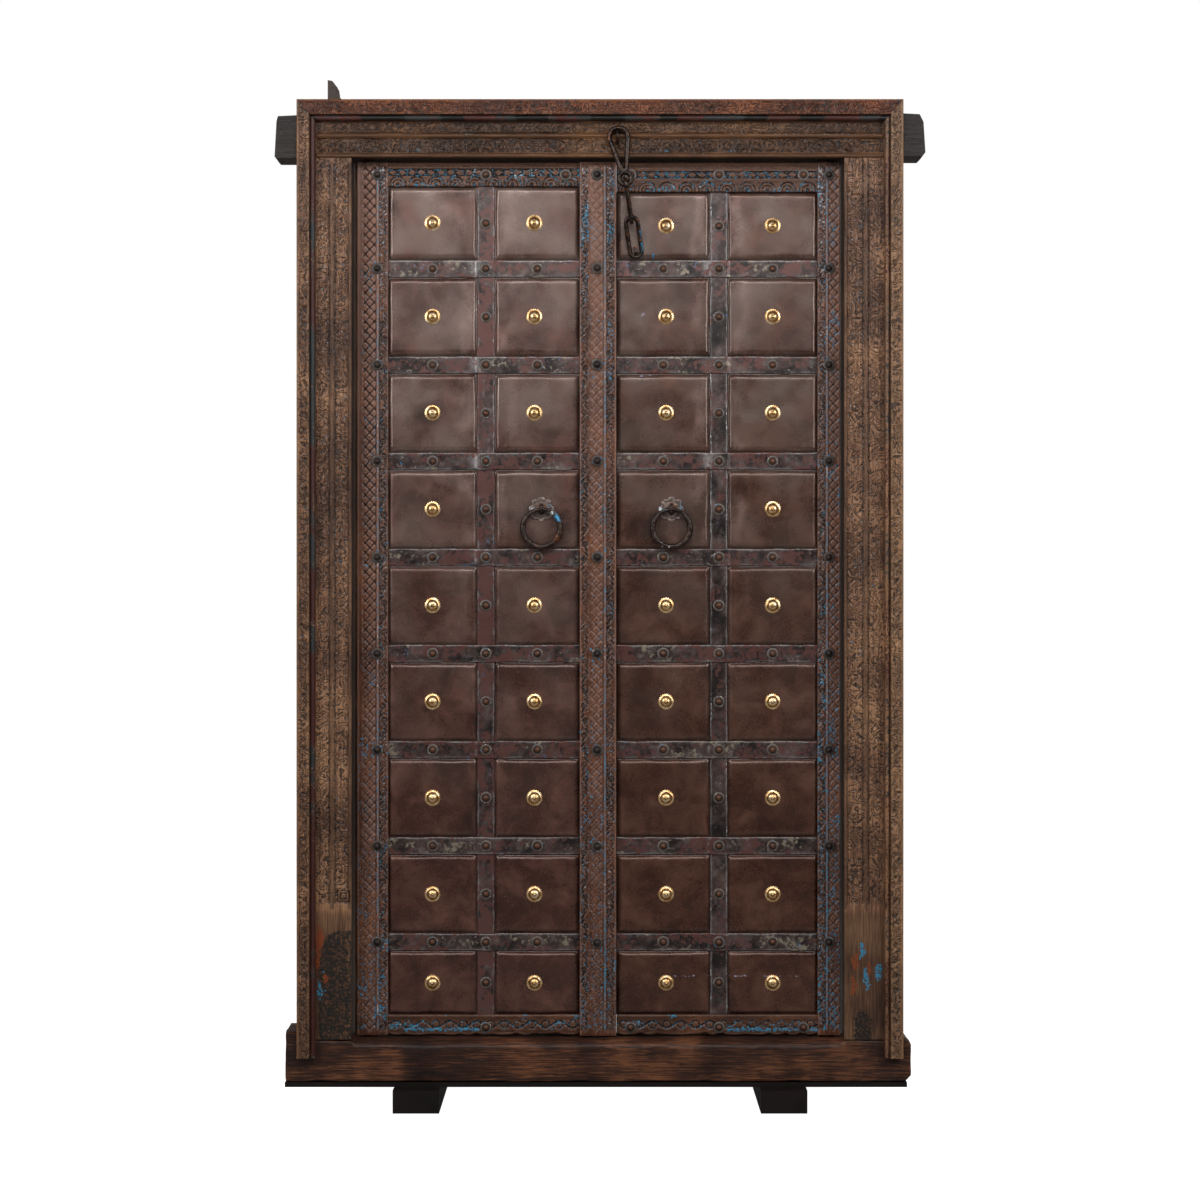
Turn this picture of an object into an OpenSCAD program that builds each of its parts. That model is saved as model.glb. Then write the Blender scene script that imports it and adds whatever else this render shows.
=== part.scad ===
// Two-leaf iron-clad door in its carved timber frame, on a steel display base.
// X runs to the right, Y away from the viewer, Z up; the floor is at Z = 0.

/* [Frame] */
// Clear width between the two jambs
opening_w = 1035; // [980:5:1200]
// Width of the left jamb, moulding included
left_jamb_w = 113; // [106:1:130]
// Width of the right jamb, moulding included
right_jamb_w = 122; // [106:1:140]
// Depth of jambs, lintel and sill from front to back
frame_d = 100; // [96:1:130]
// Height of the lintel
lintel_h = 119; // [112:1:140]
// Reach of each lintel horn past the frame
horn_l = 49; // [40:1:80]
// Height of each lintel horn
horn_h = 88; // [60:1:100]
// Height of the sill between the jambs
sill_h = 90; // [80:1:120]
// Rise of the sill's ends above its middle
sill_end_rise = 20; // [8:1:30]
// Reach of the sill past the left jamb
sill_left_reach = 27; // [10:1:38]
// Reach of the sill past the right jamb
sill_right_reach = 19; // [10:1:38]
// Height of the plain block at the foot of each jamb
plain_foot_h = 287; // [200:1:400]
// Width of each jamb tenon
tenon_w = 37; // [25:1:42]
// Depth of each jamb tenon, front to back
tenon_d = 40; // [25:1:50]
// Height of the broken stub of the left tenon above the lintel
stub_h = 50; // [20:1:60]

/* [Mouldings] */
// Width of the carved strip on the side mouldings
strip_w = 27; // [22:1:32]
// Extra width of the carved strip along the top
top_strip_extra = 5; // [0:1:8]
// Width of the round bead along the inner edge
bead_w = 11.5; // [8:0.5:14]
// Thickness of the mouldings in front of the jambs
moulding_t = 22; // [18:1:26]
// Length of the side mouldings below the sill's top
moulding_drop = 37; // [20:1:60]
// Depth of the cut carving
carve = 3; // [1.5:0.5:4]

/* [Base] */
// Width of each foot
foot_w = 97; // [70:1:130]
// Height of each foot
foot_h = 48; // [30:1:70]
// Length of each foot, front to back
foot_l = 380; // [340:5:460]
// Reach of the feet in front of the jambs
foot_front = 40; // [38:1:60]
// Wall of the folded feet
foot_wall = 5; // [3:0.5:8]
// Distance of each foot from the middle
foot_x = 384; // [300:2:480]
// Thickness of the flat bar under the sill
bar_t = 10; // [6:1:16]
// Shortfall of the bar at the sill's right end
bar_short = 9; // [0:1:20]

/* [Leaves] */
// Height of both leaves
leaf_h = 1845; // [1800:5:1900]
// Width of the left leaf, meeting post included
left_leaf_w = 545; // [520:1:560]
// Gap between the left leaf and its jamb
left_gap = 8; // [6:0.5:14]
// Gap between the right leaf and its jamb
right_gap = 5; // [5:0.5:14]
// Gap between the two leaves at the front
meeting_gap = 3; // [2.5:0.5:6]
// Gap between the two leaves at the back
heel_gap = 0.7; // [0.6:0.1:2]
// Set-back of the right leaf's iron and rails from its meeting edge
edge_back = 1; // [1:0.5:3]
// Room that an open leaf needs beside its jamb
swing_room = 4.5; // [4:0.5:6]
// Gap under the leaves
foot_gap = 3; // [2:0.5:10]
// Gap above the leaves
head_gap = 4; // [3:0.5:12]
// Set-back of the leaves behind the jambs' face
recess = 38; // [34:1:44]
// Thickness of the stiles and rails
stile_t = 54; // [48:1:60]
// Width of the left hinge stile
left_stile_w = 66; // [60:1:80]
// Width of the right hinge stile
right_stile_w = 48; // [48:1:70]
// Width of the carved meeting post
post_w = 74; // [64:1:84]
// Projection of the meeting post in front of the stiles
post_proud = 8; // [4:1:12]
// Width of the right leaf's plain meeting stile
meeting_stile_w = 60; // [40:1:80]
// Height of the left top rail
left_top_rail_h = 50; // [44:1:70]
// Height of the right top rail
right_top_rail_h = 62; // [44:1:70]
// Height of both bottom rails
bottom_rail_h = 43; // [36:1:60]
// Radius of the wooden pintles
pintle_r = 15.95; // [10:0.05:20]
// Radial clearance of the pintles in their sockets
pintle_fit = 0.05; // [0.02:0.01:0.1]
// Clearance under each bottom pintle
pintle_end = 0.3; // [0.1:0.1:0.8]
// Depth of the pintle sockets
socket_h = 40; // [25:1:60]
// Planks across each leaf
plank_n = 3; // [2:1:4]
// Thickness of the planks
plank_t = 22; // [16:1:26]
// Height of each batten on the back
batten_h = 70; // [50:1:100]
// Gap between planks
plank_gap = 0.6; // [0.3:0.1:0.9]

/* [Ironwork] */
// Set-back of the planks behind the stiles' face
sheet_set = 11; // [9:0.5:14]
// Thickness of the iron sheets
sheet_t = 1.6; // [1:0.1:2.4]
// Rise of each beaten panel
panel_rise = 5.4; // [3:0.2:7]
// Width of the sloping shoulder round each panel
shoulder = 12; // [8:1:18]
// Width of the straps
strap_w = 38; // [28:1:46]
// Thickness of the straps
strap_t = 3; // [2:0.2:4]
// Height of the bottom row, from the leaf's foot to the middle of the first strap
bottom_row_h = 196; // [170:1:220]
// Height of the top row, from the middle of the last strap to the leaf's top
top_row_h = 224; // [190:1:250]
// Shift of the upright straps to the right of the field's middle
upright_shift = 4; // [-15:1:15]
// Radius of the nail washers
washer_r = 13.5; // [9:0.5:15]
// Height of the nail heads
nail_h = 7; // [4:0.5:8]
// Radius of the scalloped brass flanges
boss_r = 18; // [12:0.5:24]
// Height of the brass bosses
boss_h = 11; // [6:0.5:14]
// Shift of the inner bosses from their panels' middle, away from the meeting edge
boss_shift = 6; // [-15:1:15]

/* [Ring pulls] */
// Shift of the left pull from its panel's middle towards the meeting edge
left_pull_in = 9; // [-20:1:20]
// Shift of the right pull from its panel's middle towards the meeting edge
right_pull_in = -17; // [-20:1:20]
// Radius of the ring to the middle of its bar
ring_r = 39.5; // [30:0.5:44]
// Radius of the ring's bar
ring_bar = 4.5; // [3:0.1:5.2]
// Radius of the staple's bend to the middle of its bar
eye_r = 8.5; // [8:0.1:11]
// Radius of the staple's bar
eye_bar = 3; // [2:0.1:3.2]
// Stand-off of the ring from its plate
ring_stand = 12; // [10:0.5:14]
// Radius of the rosette plates
rosette_r = 27; // [20:0.5:32]
// Thickness of the rosette plates
rosette_t = 2.5; // [1.5:0.1:4]

/* [Chain] */
// Distance of the chain's staple to the right of the meeting edge
chain_in = 5.5; // [0:0.5:20]
// Height of the chain's staple above the lintel's underside
chain_up = 59.5; // [50:0.5:66]
// Stand-off of the hasp in front of the lintel
chain_stand = 12; // [11:0.5:14]
// Lean of the chain towards the right leaf
chain_lean = 8.8; // [4:0.2:12]
// Backward tilt of the two lower links
chain_tilt = 15; // [10:0.5:16]
// Radius of the hasp's bar
hasp_bar = 4.5; // [3.5:0.1:5]
// Radius of the hasp's round top to the middle of its bar
hasp_r = 18.5; // [16:0.5:22]
// Length of the loop between its round ends
hasp_side = 38; // [30:1:46]
// Length of the neck between the loop and the eye
hasp_neck = 19.5; // [14:0.5:24]
// Radius of the hasp's eye to the middle of its bar
hasp_eye_r = 12; // [11:0.5:14]
// Swelling of the bar where the hasp's legs are forge-welded on
weld_swell = 0.3; // [0.2:0.1:1]
// Thickness of the collar round the hasp's neck
collar_t = 1; // [0.5:0.1:2]
// Radius of the links' bar
link_bar = 4; // [3:0.1:4.4]
// Radius of the links' ends to the middle of their bar
link_r = 11.5; // [11:0.5:14]
// Length of the middle link between the middles of its end bars
middle_link_l = 88; // [70:1:100]
// Length of the end link between the middles of its end bars
end_link_l = 83; // [70:1:100]
// Play between linked bars
link_play = 0.3; // [0.2:0.1:0.8]
// Width of the peg on the leaf
peg_w = 8; // [5:0.5:9]
// Height of the peg on the leaf
peg_h = 14; // [10:0.5:18]

/* [Hidden] */
$fn = 64;
wood = "#5a3d2b";
dark_wood = "#463024";
iron = "#4a3a36";
strap_iron = "#3a3a40";
brass = "#c9a24a";
black = "#161616";

// Heights
sill_z = foot_h + bar_t;
sill_top = sill_z + sill_h;
leaf_z = sill_top + foot_gap;
leaf_top = leaf_z + leaf_h;
lintel_z = leaf_top + head_gap;
lintel_top = lintel_z + lintel_h;
moulding_w = strip_w + bead_w;
top_moulding_h = moulding_w + top_strip_extra;
moulding_z = sill_top - moulding_drop;

// Places across the front; 0 is the left side, 1 the right
frame_w = left_jamb_w + opening_w + right_jamb_w;
outer_x = frame_w / 2;
jamb_in = [left_jamb_w - outer_x, outer_x - right_jamb_w];
leaf_x0 = [jamb_in[0] + left_gap, jamb_in[0] + left_gap + left_leaf_w + meeting_gap];
leaf_x1 = [leaf_x0[0] + left_leaf_w, jamb_in[1] - right_gap];
field_x0 = [leaf_x0[0] + left_stile_w, leaf_x0[1] + edge_back];
field_x1 = [leaf_x1[0] - post_w, leaf_x1[1] - right_stile_w];
field_z0 = leaf_z + bottom_rail_h;
field_z1 = [leaf_top - left_top_rail_h, leaf_top - right_top_rail_h];
core_x0 = [field_x0[0], leaf_x0[1] + meeting_stile_w];
upright_x = [for (s = [0, 1]) (field_x0[s] + field_x1[s]) / 2 + upright_shift];

// Depths behind the jambs' face, and the middle of the whole depth
mid_d = foot_l / 2 - foot_front;
axis_d = recess + stile_t / 2;
axis_x = [leaf_x0[0] + stile_t / 2, leaf_x1[1] - stile_t / 2];
plank_d = recess + sheet_set;
sheet_d = plank_d - sheet_t;
strap_d = sheet_d - strap_t;
panel_d = sheet_d - panel_rise;
batten_d = plank_d + plank_t;
back_d = recess + stile_t;

// Straps, counted from the bottom, and the rows of panels between them
strap_n = 8;
row_n = strap_n + 1;
strap_pitch = (leaf_h - bottom_row_h - top_row_h) / (strap_n - 1);
sheet_joint = 5;
batten_rows = [1, 3, 6, 8];
panel_gap = 1.5;
pull_row = 6;
function strap_z(k) = leaf_z + bottom_row_h + (k - 1) * strap_pitch;
function row_z0(r) = r == 1 ? field_z0 : strap_z(r - 1) + strap_w / 2;
function row_z1(s, r) = r == row_n ? field_z1[s] : strap_z(r) - strap_w / 2;
function row_mid(s, r) = (row_z0(r) + row_z1(s, r)) / 2;
function col_x0(s, c) = c == 0 ? field_x0[s] : upright_x[s] + strap_w / 2;
function col_x1(s, c) = c == 0 ? upright_x[s] - strap_w / 2 : field_x1[s];
function col_mid(s, c) = (col_x0(s, c) + col_x1(s, c)) / 2;

// Carved stiles: plain blocks at each strap, carving between them
block_h = 44;
diamond_n = 8;
diamond_h = (strap_pitch - block_h) / diamond_n;
groove = 3;
left_border = 20;
right_border = 24;
post_border = 18;
stile_margin = 5;
right_margin = 1;
stile_nail_x = [leaf_x0[0] + left_stile_w - left_border - groove, leaf_x1[1] - right_stile_w / 2];
post_nail_x = leaf_x1[0] - post_w / 2;

// Ring pulls
pull_col = [1, 0];
pull_x = [col_mid(0, pull_col[0]) + left_pull_in, col_mid(1, pull_col[1]) - right_pull_in];
pull_z = [for (s = [0, 1]) row_mid(s, pull_row)];
plate_d = panel_d - rosette_t;
eye_d = plate_d - ring_stand;
ring_axis_z = [for (s = [0, 1]) pull_z[s] - (eye_r - eye_bar - ring_bar) + link_play];
leg_depth = 14;
leg_fit = 0.05;

// Chain: each link is drawn hanging down from the middle of its top bar
chain_x = leaf_x1[0] + chain_in;
chain_z = lintel_z + chain_up;
staple_bar = 4;
peg_reach = 10;
peg_play = 3;
staple_r = 10;
staple_reach = 18;
staple_z = chain_z - hasp_bar - link_play - staple_bar - staple_r;
hasp_l = 2 * hasp_r + hasp_side;
hasp_eye_z = -hasp_l - hasp_neck - hasp_eye_r;
middle_pivot_z = hasp_eye_z - hasp_eye_r;
middle_top_z = hasp_bar + link_bar + link_play;
end_top_z = middle_top_z - middle_link_l + 2 * link_bar + link_play;
peg_z = end_top_z - end_link_l + link_bar + link_play + peg_play + peg_h / 2;

// A front outline drawn in X and Z, made solid between two depths behind the jambs' face
module slab(d0, d1) {
    translate([0, d1 - mid_d, 0])
        rotate([90, 0, 0])
            linear_extrude(d1 - d0)
                children();
}

// A front outline cut into a face
module cut(face, depth) {
    slab(face - 1, face + depth)
        children();
}

// A rectangle given by two corners
module rect(x0, z0, x1, z1) {
    translate([x0, z0])
        square([x1 - x0, z1 - z0]);
}

// A block given by its front corners and depths
module block(x0, z0, x1, z1, d0, d1) {
    translate([x0, d0 - mid_d, z0])
        cube([x1 - x0, d1 - d0, z1 - z0]);
}

// A round bar that runs front to back
module peg_bar(r, x, z, d0, d1) {
    translate([x, d1 - mid_d, z])
        rotate([90, 0, 0])
            cylinder(r = r, h = d1 - d0);
}

// A row of copies along Z
module column_of(n, pitch) {
    for (i = [0 : n - 1])
        translate([0, (i + 0.5) * pitch])
            children();
}

// A row of copies along X
module row_of(n, pitch) {
    for (i = [0 : n - 1])
        translate([(i + 0.5) * pitch, 0])
            children();
}

// One pointed leaf, its tip along +X
module leaf(l, w) {
    polygon([[-l / 2, 0], [-l / 5, w / 2], [l / 5, w / 3], [l / 2, 0], [l / 5, -w / 3], [-l / 5, -w / 2]]);
}

// Petals that spread upwards from one root
module palmette(h, n, spread) {
    for (i = [0 : n - 1])
        rotate(90 + spread * (i / (n - 1) - 0.5))
            translate([h * 0.62, 0])
                leaf(h * 0.7, h * 0.24);
}

// A four-petalled flower
module flower(d) {
    for (a = [45 : 90 : 315])
        rotate(a)
            translate([d * 0.3, 0])
                leaf(d * 0.46, d * 0.22);
}

// Grooves that leave a lattice of raised diamonds, one whole diamond across and a half on each side
module lattice(w, n, h) {
    difference() {
        translate([-w / 2, 0])
            square([w, n * h]);
        for (i = [0 : n - 1])
            translate([0, (i + 0.5) * h])
                diamond(w / 2 - groove / 2, h - groove);
        for (i = [0 : n], x = [-w / 2, w / 2])
            translate([x, i * h])
                diamond(w / 2 - groove / 2, h - groove);
    }
}

module diamond(w, h) {
    polygon([[-w / 2, 0], [0, -h / 2], [w / 2, 0], [0, h / 2]]);
}

// Lintel

// Section of the lintel's face between the mouldings, in depth and height, with its ridge and lip
ridge_r = 4;
ridge_up = 46;
lip_h = 9;
lip_proud = 4;
band_margin = 3;

module lintel_section() {
    translate([0, lintel_z])
        square([2, lintel_h - top_moulding_h]);
    translate([0, lintel_z + ridge_up])
        circle(ridge_r);
    translate([-lip_proud, lintel_z])
        square([lip_proud + 1, lip_h - lip_proud]);
    intersection() {
        translate([0, lintel_z + lip_h - lip_proud])
            circle(lip_proud);
        translate([-lip_proud, lintel_z])
            square([lip_proud + 2, lip_h]);
    }
}

module lintel_carving() {
    upper_z = lintel_z + ridge_up + ridge_r;
    upper_h = lintel_h - top_moulding_h - ridge_up - ridge_r;
    lower_z = lintel_z + lip_h + band_margin;
    lower_h = ridge_up - ridge_r - lip_h - 2 * band_margin;
    inner_w = frame_w - 2 * moulding_w;
    leaf_n = floor(inner_w / 24);
    palm_n = floor(inner_w / 64);
    translate([-inner_w / 2, upper_z + upper_h / 2])
        row_of(leaf_n, inner_w / leaf_n)
            rotate(40)
                leaf(24, 8);
    translate([-inner_w / 2, lower_z])
        row_of(palm_n, inner_w / palm_n)
            palmette(lower_h, 5, 150);
}

// One horn, drawn for the right end: tapered, with its corners cut
module horn_outline(cut_w) {
    polygon([
        [-1, 0], [horn_l - cut_w, 0], [horn_l, cut_w], [horn_l - 4, horn_h - cut_w - 8],
        [horn_l - cut_w - 4, horn_h], [-1, horn_h + 2]
    ]);
}

module lintel() {
    color(wood)
        difference() {
            union() {
                block(-outer_x, lintel_z, outer_x, lintel_top, 0, frame_d);
                translate([moulding_w - outer_x, -mid_d, 0])
                    rotate([90, 0, 90])
                        linear_extrude(frame_w - 2 * moulding_w)
                            lintel_section();
                slab(4, frame_d - 6)
                    translate([outer_x, lintel_z + 4])
                        horn_outline(8);
                slab(4, frame_d - 6)
                    translate([-outer_x, lintel_z])
                        mirror([1, 0])
                            horn_outline(3);
            }
            cut(0, carve)
                lintel_carving();
            for (s = [0, 1])
                translate([axis_x[s], axis_d - mid_d, lintel_z - 1])
                    cylinder(r = pintle_r + pintle_fit, h = socket_h + 1);
            jamb_tenon(0, lintel_h + 1, tenon_play);
            jamb_tenon(1, blind_tenon_h, tenon_play);
            staple_legs(staple_bar + leg_fit);
        }
}

// Jambs

tenon_play = 0.2;
blind_tenon_h = 60;
tenon_in = 60;
tenon_x = [tenon_in - outer_x, outer_x - tenon_in - tenon_w];
jamb_bead = 3;
jamb_lip = 6;
stop_d = 12;
jamb_stop = [left_gap - swing_room, right_gap - swing_room];

// The tenon above a jamb, also used with play as its mortise
module jamb_tenon(s, h, play) {
    d0 = (frame_d - tenon_d) / 2;
    block(tenon_x[s] - play, lintel_z - 1, tenon_x[s] + tenon_w + play, lintel_z + h + play,
        d0 - play, d0 + tenon_d + play);
}

// Section of one jamb in width and depth, drawn from its outer edge inwards, with a stop at its back
module jamb_section(w, stop) {
    square([w, frame_d]);
    translate([0, frame_d - stop_d])
        square([w + stop, stop_d]);
    translate([moulding_w + (w - moulding_w - jamb_lip) / 2, 0])
        circle(jamb_bead);
    translate([w - jamb_lip, -jamb_bead])
        square([jamb_lip, jamb_bead + 1]);
}

// Two carved bands: leaning leaves outside, flowers inside
module jamb_carving(w) {
    band_w = (w - moulding_w - jamb_lip) / 2 - jamb_bead;
    carved_h = lintel_z - sill_top - plain_foot_h;
    leaf_n = floor(carved_h / 24);
    flower_n = floor(carved_h / 64);
    translate([moulding_w + band_w / 2, sill_top + plain_foot_h])
        column_of(leaf_n, carved_h / leaf_n)
            rotate(48)
                leaf(28, 9);
    translate([w - jamb_lip - band_w / 2 - 1, sill_top + plain_foot_h])
        column_of(flower_n, carved_h / flower_n)
            union() {
                flower(band_w * 1.25);
                translate([0, carved_h / flower_n / 2])
                    diamond(band_w * 0.4, band_w * 0.5);
            }
}

module jamb_post(w, stop) {
    difference() {
        translate([-outer_x, -mid_d, sill_top])
            linear_extrude(lintel_z - sill_top)
                jamb_section(w, stop);
        cut(0, carve)
            translate([-outer_x, 0])
                jamb_carving(w);
        block(moulding_w - outer_x, sill_top - 1, w - outer_x + 1, sill_top + plain_foot_h - 12, -jamb_bead - 1, 0);
        block(-outer_x - 1, lintel_z - 14, w - outer_x + 1, lintel_z + 1, -jamb_bead - 1, 0);
    }
}

// Outline of the broken end above the lintel
module broken_stub() {
    slab((frame_d - tenon_d) / 2, (frame_d + tenon_d) / 2)
        translate([tenon_x[0], lintel_top - 1])
            polygon([
                [0, 0], [0, stub_h + 1], [10, stub_h - 1], [tenon_w * 0.56, stub_h * 0.7],
                [tenon_w * 0.62, stub_h * 0.36], [tenon_w, 1], [tenon_w, 0]
            ]);
}

module left_jamb() {
    color(wood)
        union() {
            jamb_post(left_jamb_w, jamb_stop[0]);
            jamb_tenon(0, lintel_h, 0);
            broken_stub();
        }
}

module right_jamb() {
    color(wood)
        union() {
            mirror([1, 0, 0])
                jamb_post(right_jamb_w, jamb_stop[1]);
            jamb_tenon(1, blind_tenon_h - 2, 0);
        }
}

// Sill

sill_bevel = 12;

module sill_outline() {
    end_z = sill_top + sill_end_rise;
    polygon([
        [-outer_x - sill_left_reach, sill_z], [outer_x + sill_right_reach - 10, sill_z],
        [outer_x + sill_right_reach, sill_z + 12], [outer_x + sill_right_reach, sill_top - 6],
        [outer_x + 5, sill_top + sill_end_rise / 2], [outer_x + 0.5, sill_top + sill_end_rise / 2],
        [outer_x + 0.5, sill_top], [-outer_x - 0.5, sill_top], [-outer_x - 0.5, end_z],
        [-outer_x - sill_left_reach, end_z]
    ]);
}

module sill() {
    color(dark_wood)
        difference() {
            slab(0, frame_d)
                sill_outline();
            translate([jamb_in[0], -mid_d, 0])
                rotate([90, 0, 90])
                    linear_extrude(opening_w)
                        polygon([[-1, sill_top - sill_bevel], [0, sill_top - sill_bevel], [recess / 2, sill_top],
                            [recess / 2, sill_top + 1], [-1, sill_top + 1]]);
            for (s = [0, 1])
                translate([axis_x[s], axis_d - mid_d, sill_top - socket_h])
                    cylinder(r = pintle_r + pintle_fit, h = socket_h + 1);
        }
}

// Mouldings

bead_drop = 6;
tooth = 32;

// Section of a moulding: carved strip, then a round bead; u runs inwards from the outer edge
module moulding_section(strip) {
    translate([0, -moulding_t])
        square([strip, moulding_t]);
    translate([0, bead_drop - moulding_t + bead_w / 2])
        square([strip + bead_w, moulding_t - bead_drop - bead_w / 2]);
    translate([strip + bead_w / 2, bead_drop - moulding_t + bead_w / 2])
        circle(bead_w / 2);
}

// One tooth of the carved strip: hollows beside a pointed leaf and its vein
module tooth_cut(strip, pitch) {
    polygon([[3, -pitch / 2 + 2], [strip * 0.72, -pitch / 2 + 4], [strip * 0.3, -2]]);
    polygon([[3, pitch / 2 - 2], [strip * 0.3, 2], [strip * 0.72, pitch / 2 - 4]]);
    translate([strip * 0.62, 0])
        leaf(strip * 0.55, 5);
}

module side_moulding() {
    n = floor((lintel_top - moulding_z - 2 * top_moulding_h) / tooth);
    pitch = (lintel_top - moulding_z - 2 * top_moulding_h) / n;
    difference() {
        intersection() {
            translate([-outer_x, -mid_d, moulding_z])
                linear_extrude(lintel_top - moulding_z)
                    moulding_section(strip_w);
            slab(-moulding_t - 1, 1)
                polygon([[-outer_x, moulding_z], [-outer_x, lintel_top],
                    [moulding_w - outer_x, lintel_top - top_moulding_h], [moulding_w - outer_x, moulding_z]]);
        }
        cut(-moulding_t, carve)
            translate([-outer_x, moulding_z + top_moulding_h])
                column_of(n, pitch)
                    tooth_cut(strip_w, pitch);
    }
}

module left_moulding() {
    color(wood)
        side_moulding();
}

module right_moulding() {
    color(wood)
        mirror([1, 0, 0])
            side_moulding();
}

module top_moulding() {
    strip = strip_w + top_strip_extra;
    inner_w = frame_w - 2 * top_moulding_h;
    n = floor(inner_w / tooth);
    color(wood)
        difference() {
            intersection() {
                translate([-outer_x, -mid_d, lintel_top])
                    rotate([90, 0, 90])
                        linear_extrude(frame_w)
                            rotate(-90)
                                moulding_section(strip);
                slab(-moulding_t - 1, 1)
                    polygon([[-outer_x, lintel_top], [outer_x, lintel_top],
                        [outer_x - moulding_w, lintel_top - top_moulding_h],
                        [moulding_w - outer_x, lintel_top - top_moulding_h]]);
            }
            cut(-moulding_t, carve)
                translate([-inner_w / 2, lintel_top])
                    row_of(n, inner_w / n)
                        rotate(-90)
                            tooth_cut(strip, inner_w / n);
        }
}

// Base

module base_bar() {
    color(black)
        block(-outer_x - sill_left_reach, foot_h, outer_x + sill_right_reach - bar_short, sill_z, 0, frame_d);
}

// A foot folded from plate, open below
module foot(x) {
    difference() {
        block(x - foot_w / 2, 0, x + foot_w / 2, foot_h, -foot_front, foot_l - foot_front);
        block(x - foot_w / 2 + foot_wall, -1, x + foot_w / 2 - foot_wall, foot_h - foot_wall,
            foot_wall - foot_front, foot_l - foot_front - foot_wall);
    }
}

module left_foot() {
    color(black)
        foot(-foot_x);
}

module right_foot() {
    color(black)
        foot(foot_x);
}

// Leaves: timber

// Upright of a leaf; the back outer edge is round about the turning axis
module hinge_stile(s) {
    inner_w = s == 0 ? left_stile_w : right_stile_w;
    half = stile_t / 2;
    translate([axis_x[s], axis_d - mid_d, leaf_z])
        mirror([s, 0, 0])
            union() {
                linear_extrude(leaf_h)
                    union() {
                        intersection() {
                            circle(half);
                            translate([-half, 0])
                                square(half);
                        }
                        translate([-half, -half])
                            square([inner_w, half]);
                        translate([0, -half])
                            square([inner_w - half, stile_t]);
                    }
                translate([0, 0, pintle_end - foot_gap - socket_h])
                    cylinder(r = pintle_r, h = foot_gap + socket_h);
                translate([0, 0, leaf_h - 1])
                    cylinder(r = pintle_r, h = head_gap + socket_h * 0.75 + 1);
            }
}

// Carving of a stile between the plain blocks at the straps
module between_blocks() {
    for (k = [0 : strap_n])
        translate([0, strap_z(k) + block_h / 2])
            children();
}

// Leaves that lean left and right in turn
module vine(n, pitch, l) {
    for (i = [0 : n - 1])
        translate([0, (i + 0.5) * pitch])
            rotate(i % 2 == 0 ? 35 : 145)
                leaf(l, l * 0.42);
}

module left_hinge_stile() {
    lattice_w = left_stile_w - left_border - stile_margin;
    color(wood)
        difference() {
            hinge_stile(0);
            cut(recess, carve)
                between_blocks()
                    translate([leaf_x0[0] + stile_margin + lattice_w / 2, 0])
                        lattice(lattice_w, diamond_n, diamond_h);
            cut(recess, carve)
                between_blocks()
                    translate([field_x0[0] - left_border / 2, 0])
                        vine(diamond_n, diamond_h, left_border * 0.8);
        }
}

module right_hinge_stile() {
    lattice_w = right_stile_w - right_border - 2 * right_margin;
    color(wood)
        difference() {
            hinge_stile(1);
            cut(recess, carve)
                between_blocks()
                    translate([leaf_x1[1] - right_margin - lattice_w / 2, 0])
                        lattice(lattice_w, diamond_n, diamond_h);
            cut(recess, carve)
                between_blocks()
                    translate([field_x1[1] + right_border / 2, 0])
                        vine(diamond_n, diamond_h, right_border * 0.8);
        }
}

module meeting_post() {
    lattice_w = post_w - 2 * post_border;
    face = recess - post_proud;
    color(wood)
        difference() {
            union() {
                block(field_x1[0], leaf_z, leaf_x1[0], leaf_top, face, back_d);
                block(leaf_x1[0] - 1, leaf_z, leaf_x0[1] - heel_gap, leaf_top, batten_d, back_d);
            }
            cut(face, carve)
                between_blocks()
                    translate([post_nail_x, 0])
                        lattice(lattice_w, diamond_n, diamond_h);
            for (x = [field_x1[0] + post_border / 2, leaf_x1[0] - post_border / 2])
                cut(face, carve)
                    between_blocks()
                        translate([x, 0])
                            vine(diamond_n, diamond_h, post_border * 0.8);
        }
}

module right_meeting_stile() {
    color(dark_wood)
        difference() {
            block(leaf_x0[1], field_z0, core_x0[1], field_z1[1], plank_d, back_d);
            peg_shank(peg_shank_r + leg_fit);
        }
}

// A rail with a row of carved fans
module rail(s, z0, z1, fan_h) {
    w = field_x1[s] - field_x0[s];
    n = floor(w / 50);
    difference() {
        block(field_x0[s], z0, field_x1[s], z1, recess, back_d);
        cut(recess, carve)
            translate([field_x0[s], z0 + (z1 - z0 - fan_h) / 2])
                row_of(n, w / n)
                    palmette(fan_h, 5, 150);
    }
}

rail_fan = 24;

module left_top_rail() {
    color(wood)
        rail(0, field_z1[0], leaf_top, rail_fan);
}

module right_top_rail() {
    color(wood)
        rail(1, field_z1[1], leaf_top, rail_fan);
}

module left_bottom_rail() {
    color(wood)
        rail(0, leaf_z, field_z0, rail_fan);
}

module right_bottom_rail() {
    color(wood)
        rail(1, leaf_z, field_z0, rail_fan);
}

module planks(s) {
    w = (field_x1[s] - core_x0[s] + plank_gap) / plank_n;
    color(dark_wood)
        difference() {
            for (i = [0 : plank_n - 1])
                block(core_x0[s] + i * w, field_z0, core_x0[s] + (i + 1) * w - plank_gap, field_z1[s],
                    plank_d, batten_d);
            pull_legs(s, eye_bar + leg_fit);
            if (s == 1)
                peg_shank(peg_shank_r + leg_fit);
        }
}

module left_planks() {
    planks(0);
}

module right_planks() {
    planks(1);
}

module battens(s) {
    color(dark_wood)
        for (k = batten_rows)
            block(core_x0[s], strap_z(k) - batten_h / 2, field_x1[s], strap_z(k) + batten_h / 2, batten_d, back_d);
}

module left_battens() {
    battens(0);
}

module right_battens() {
    battens(1);
}

// Leaves: ironwork

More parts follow.
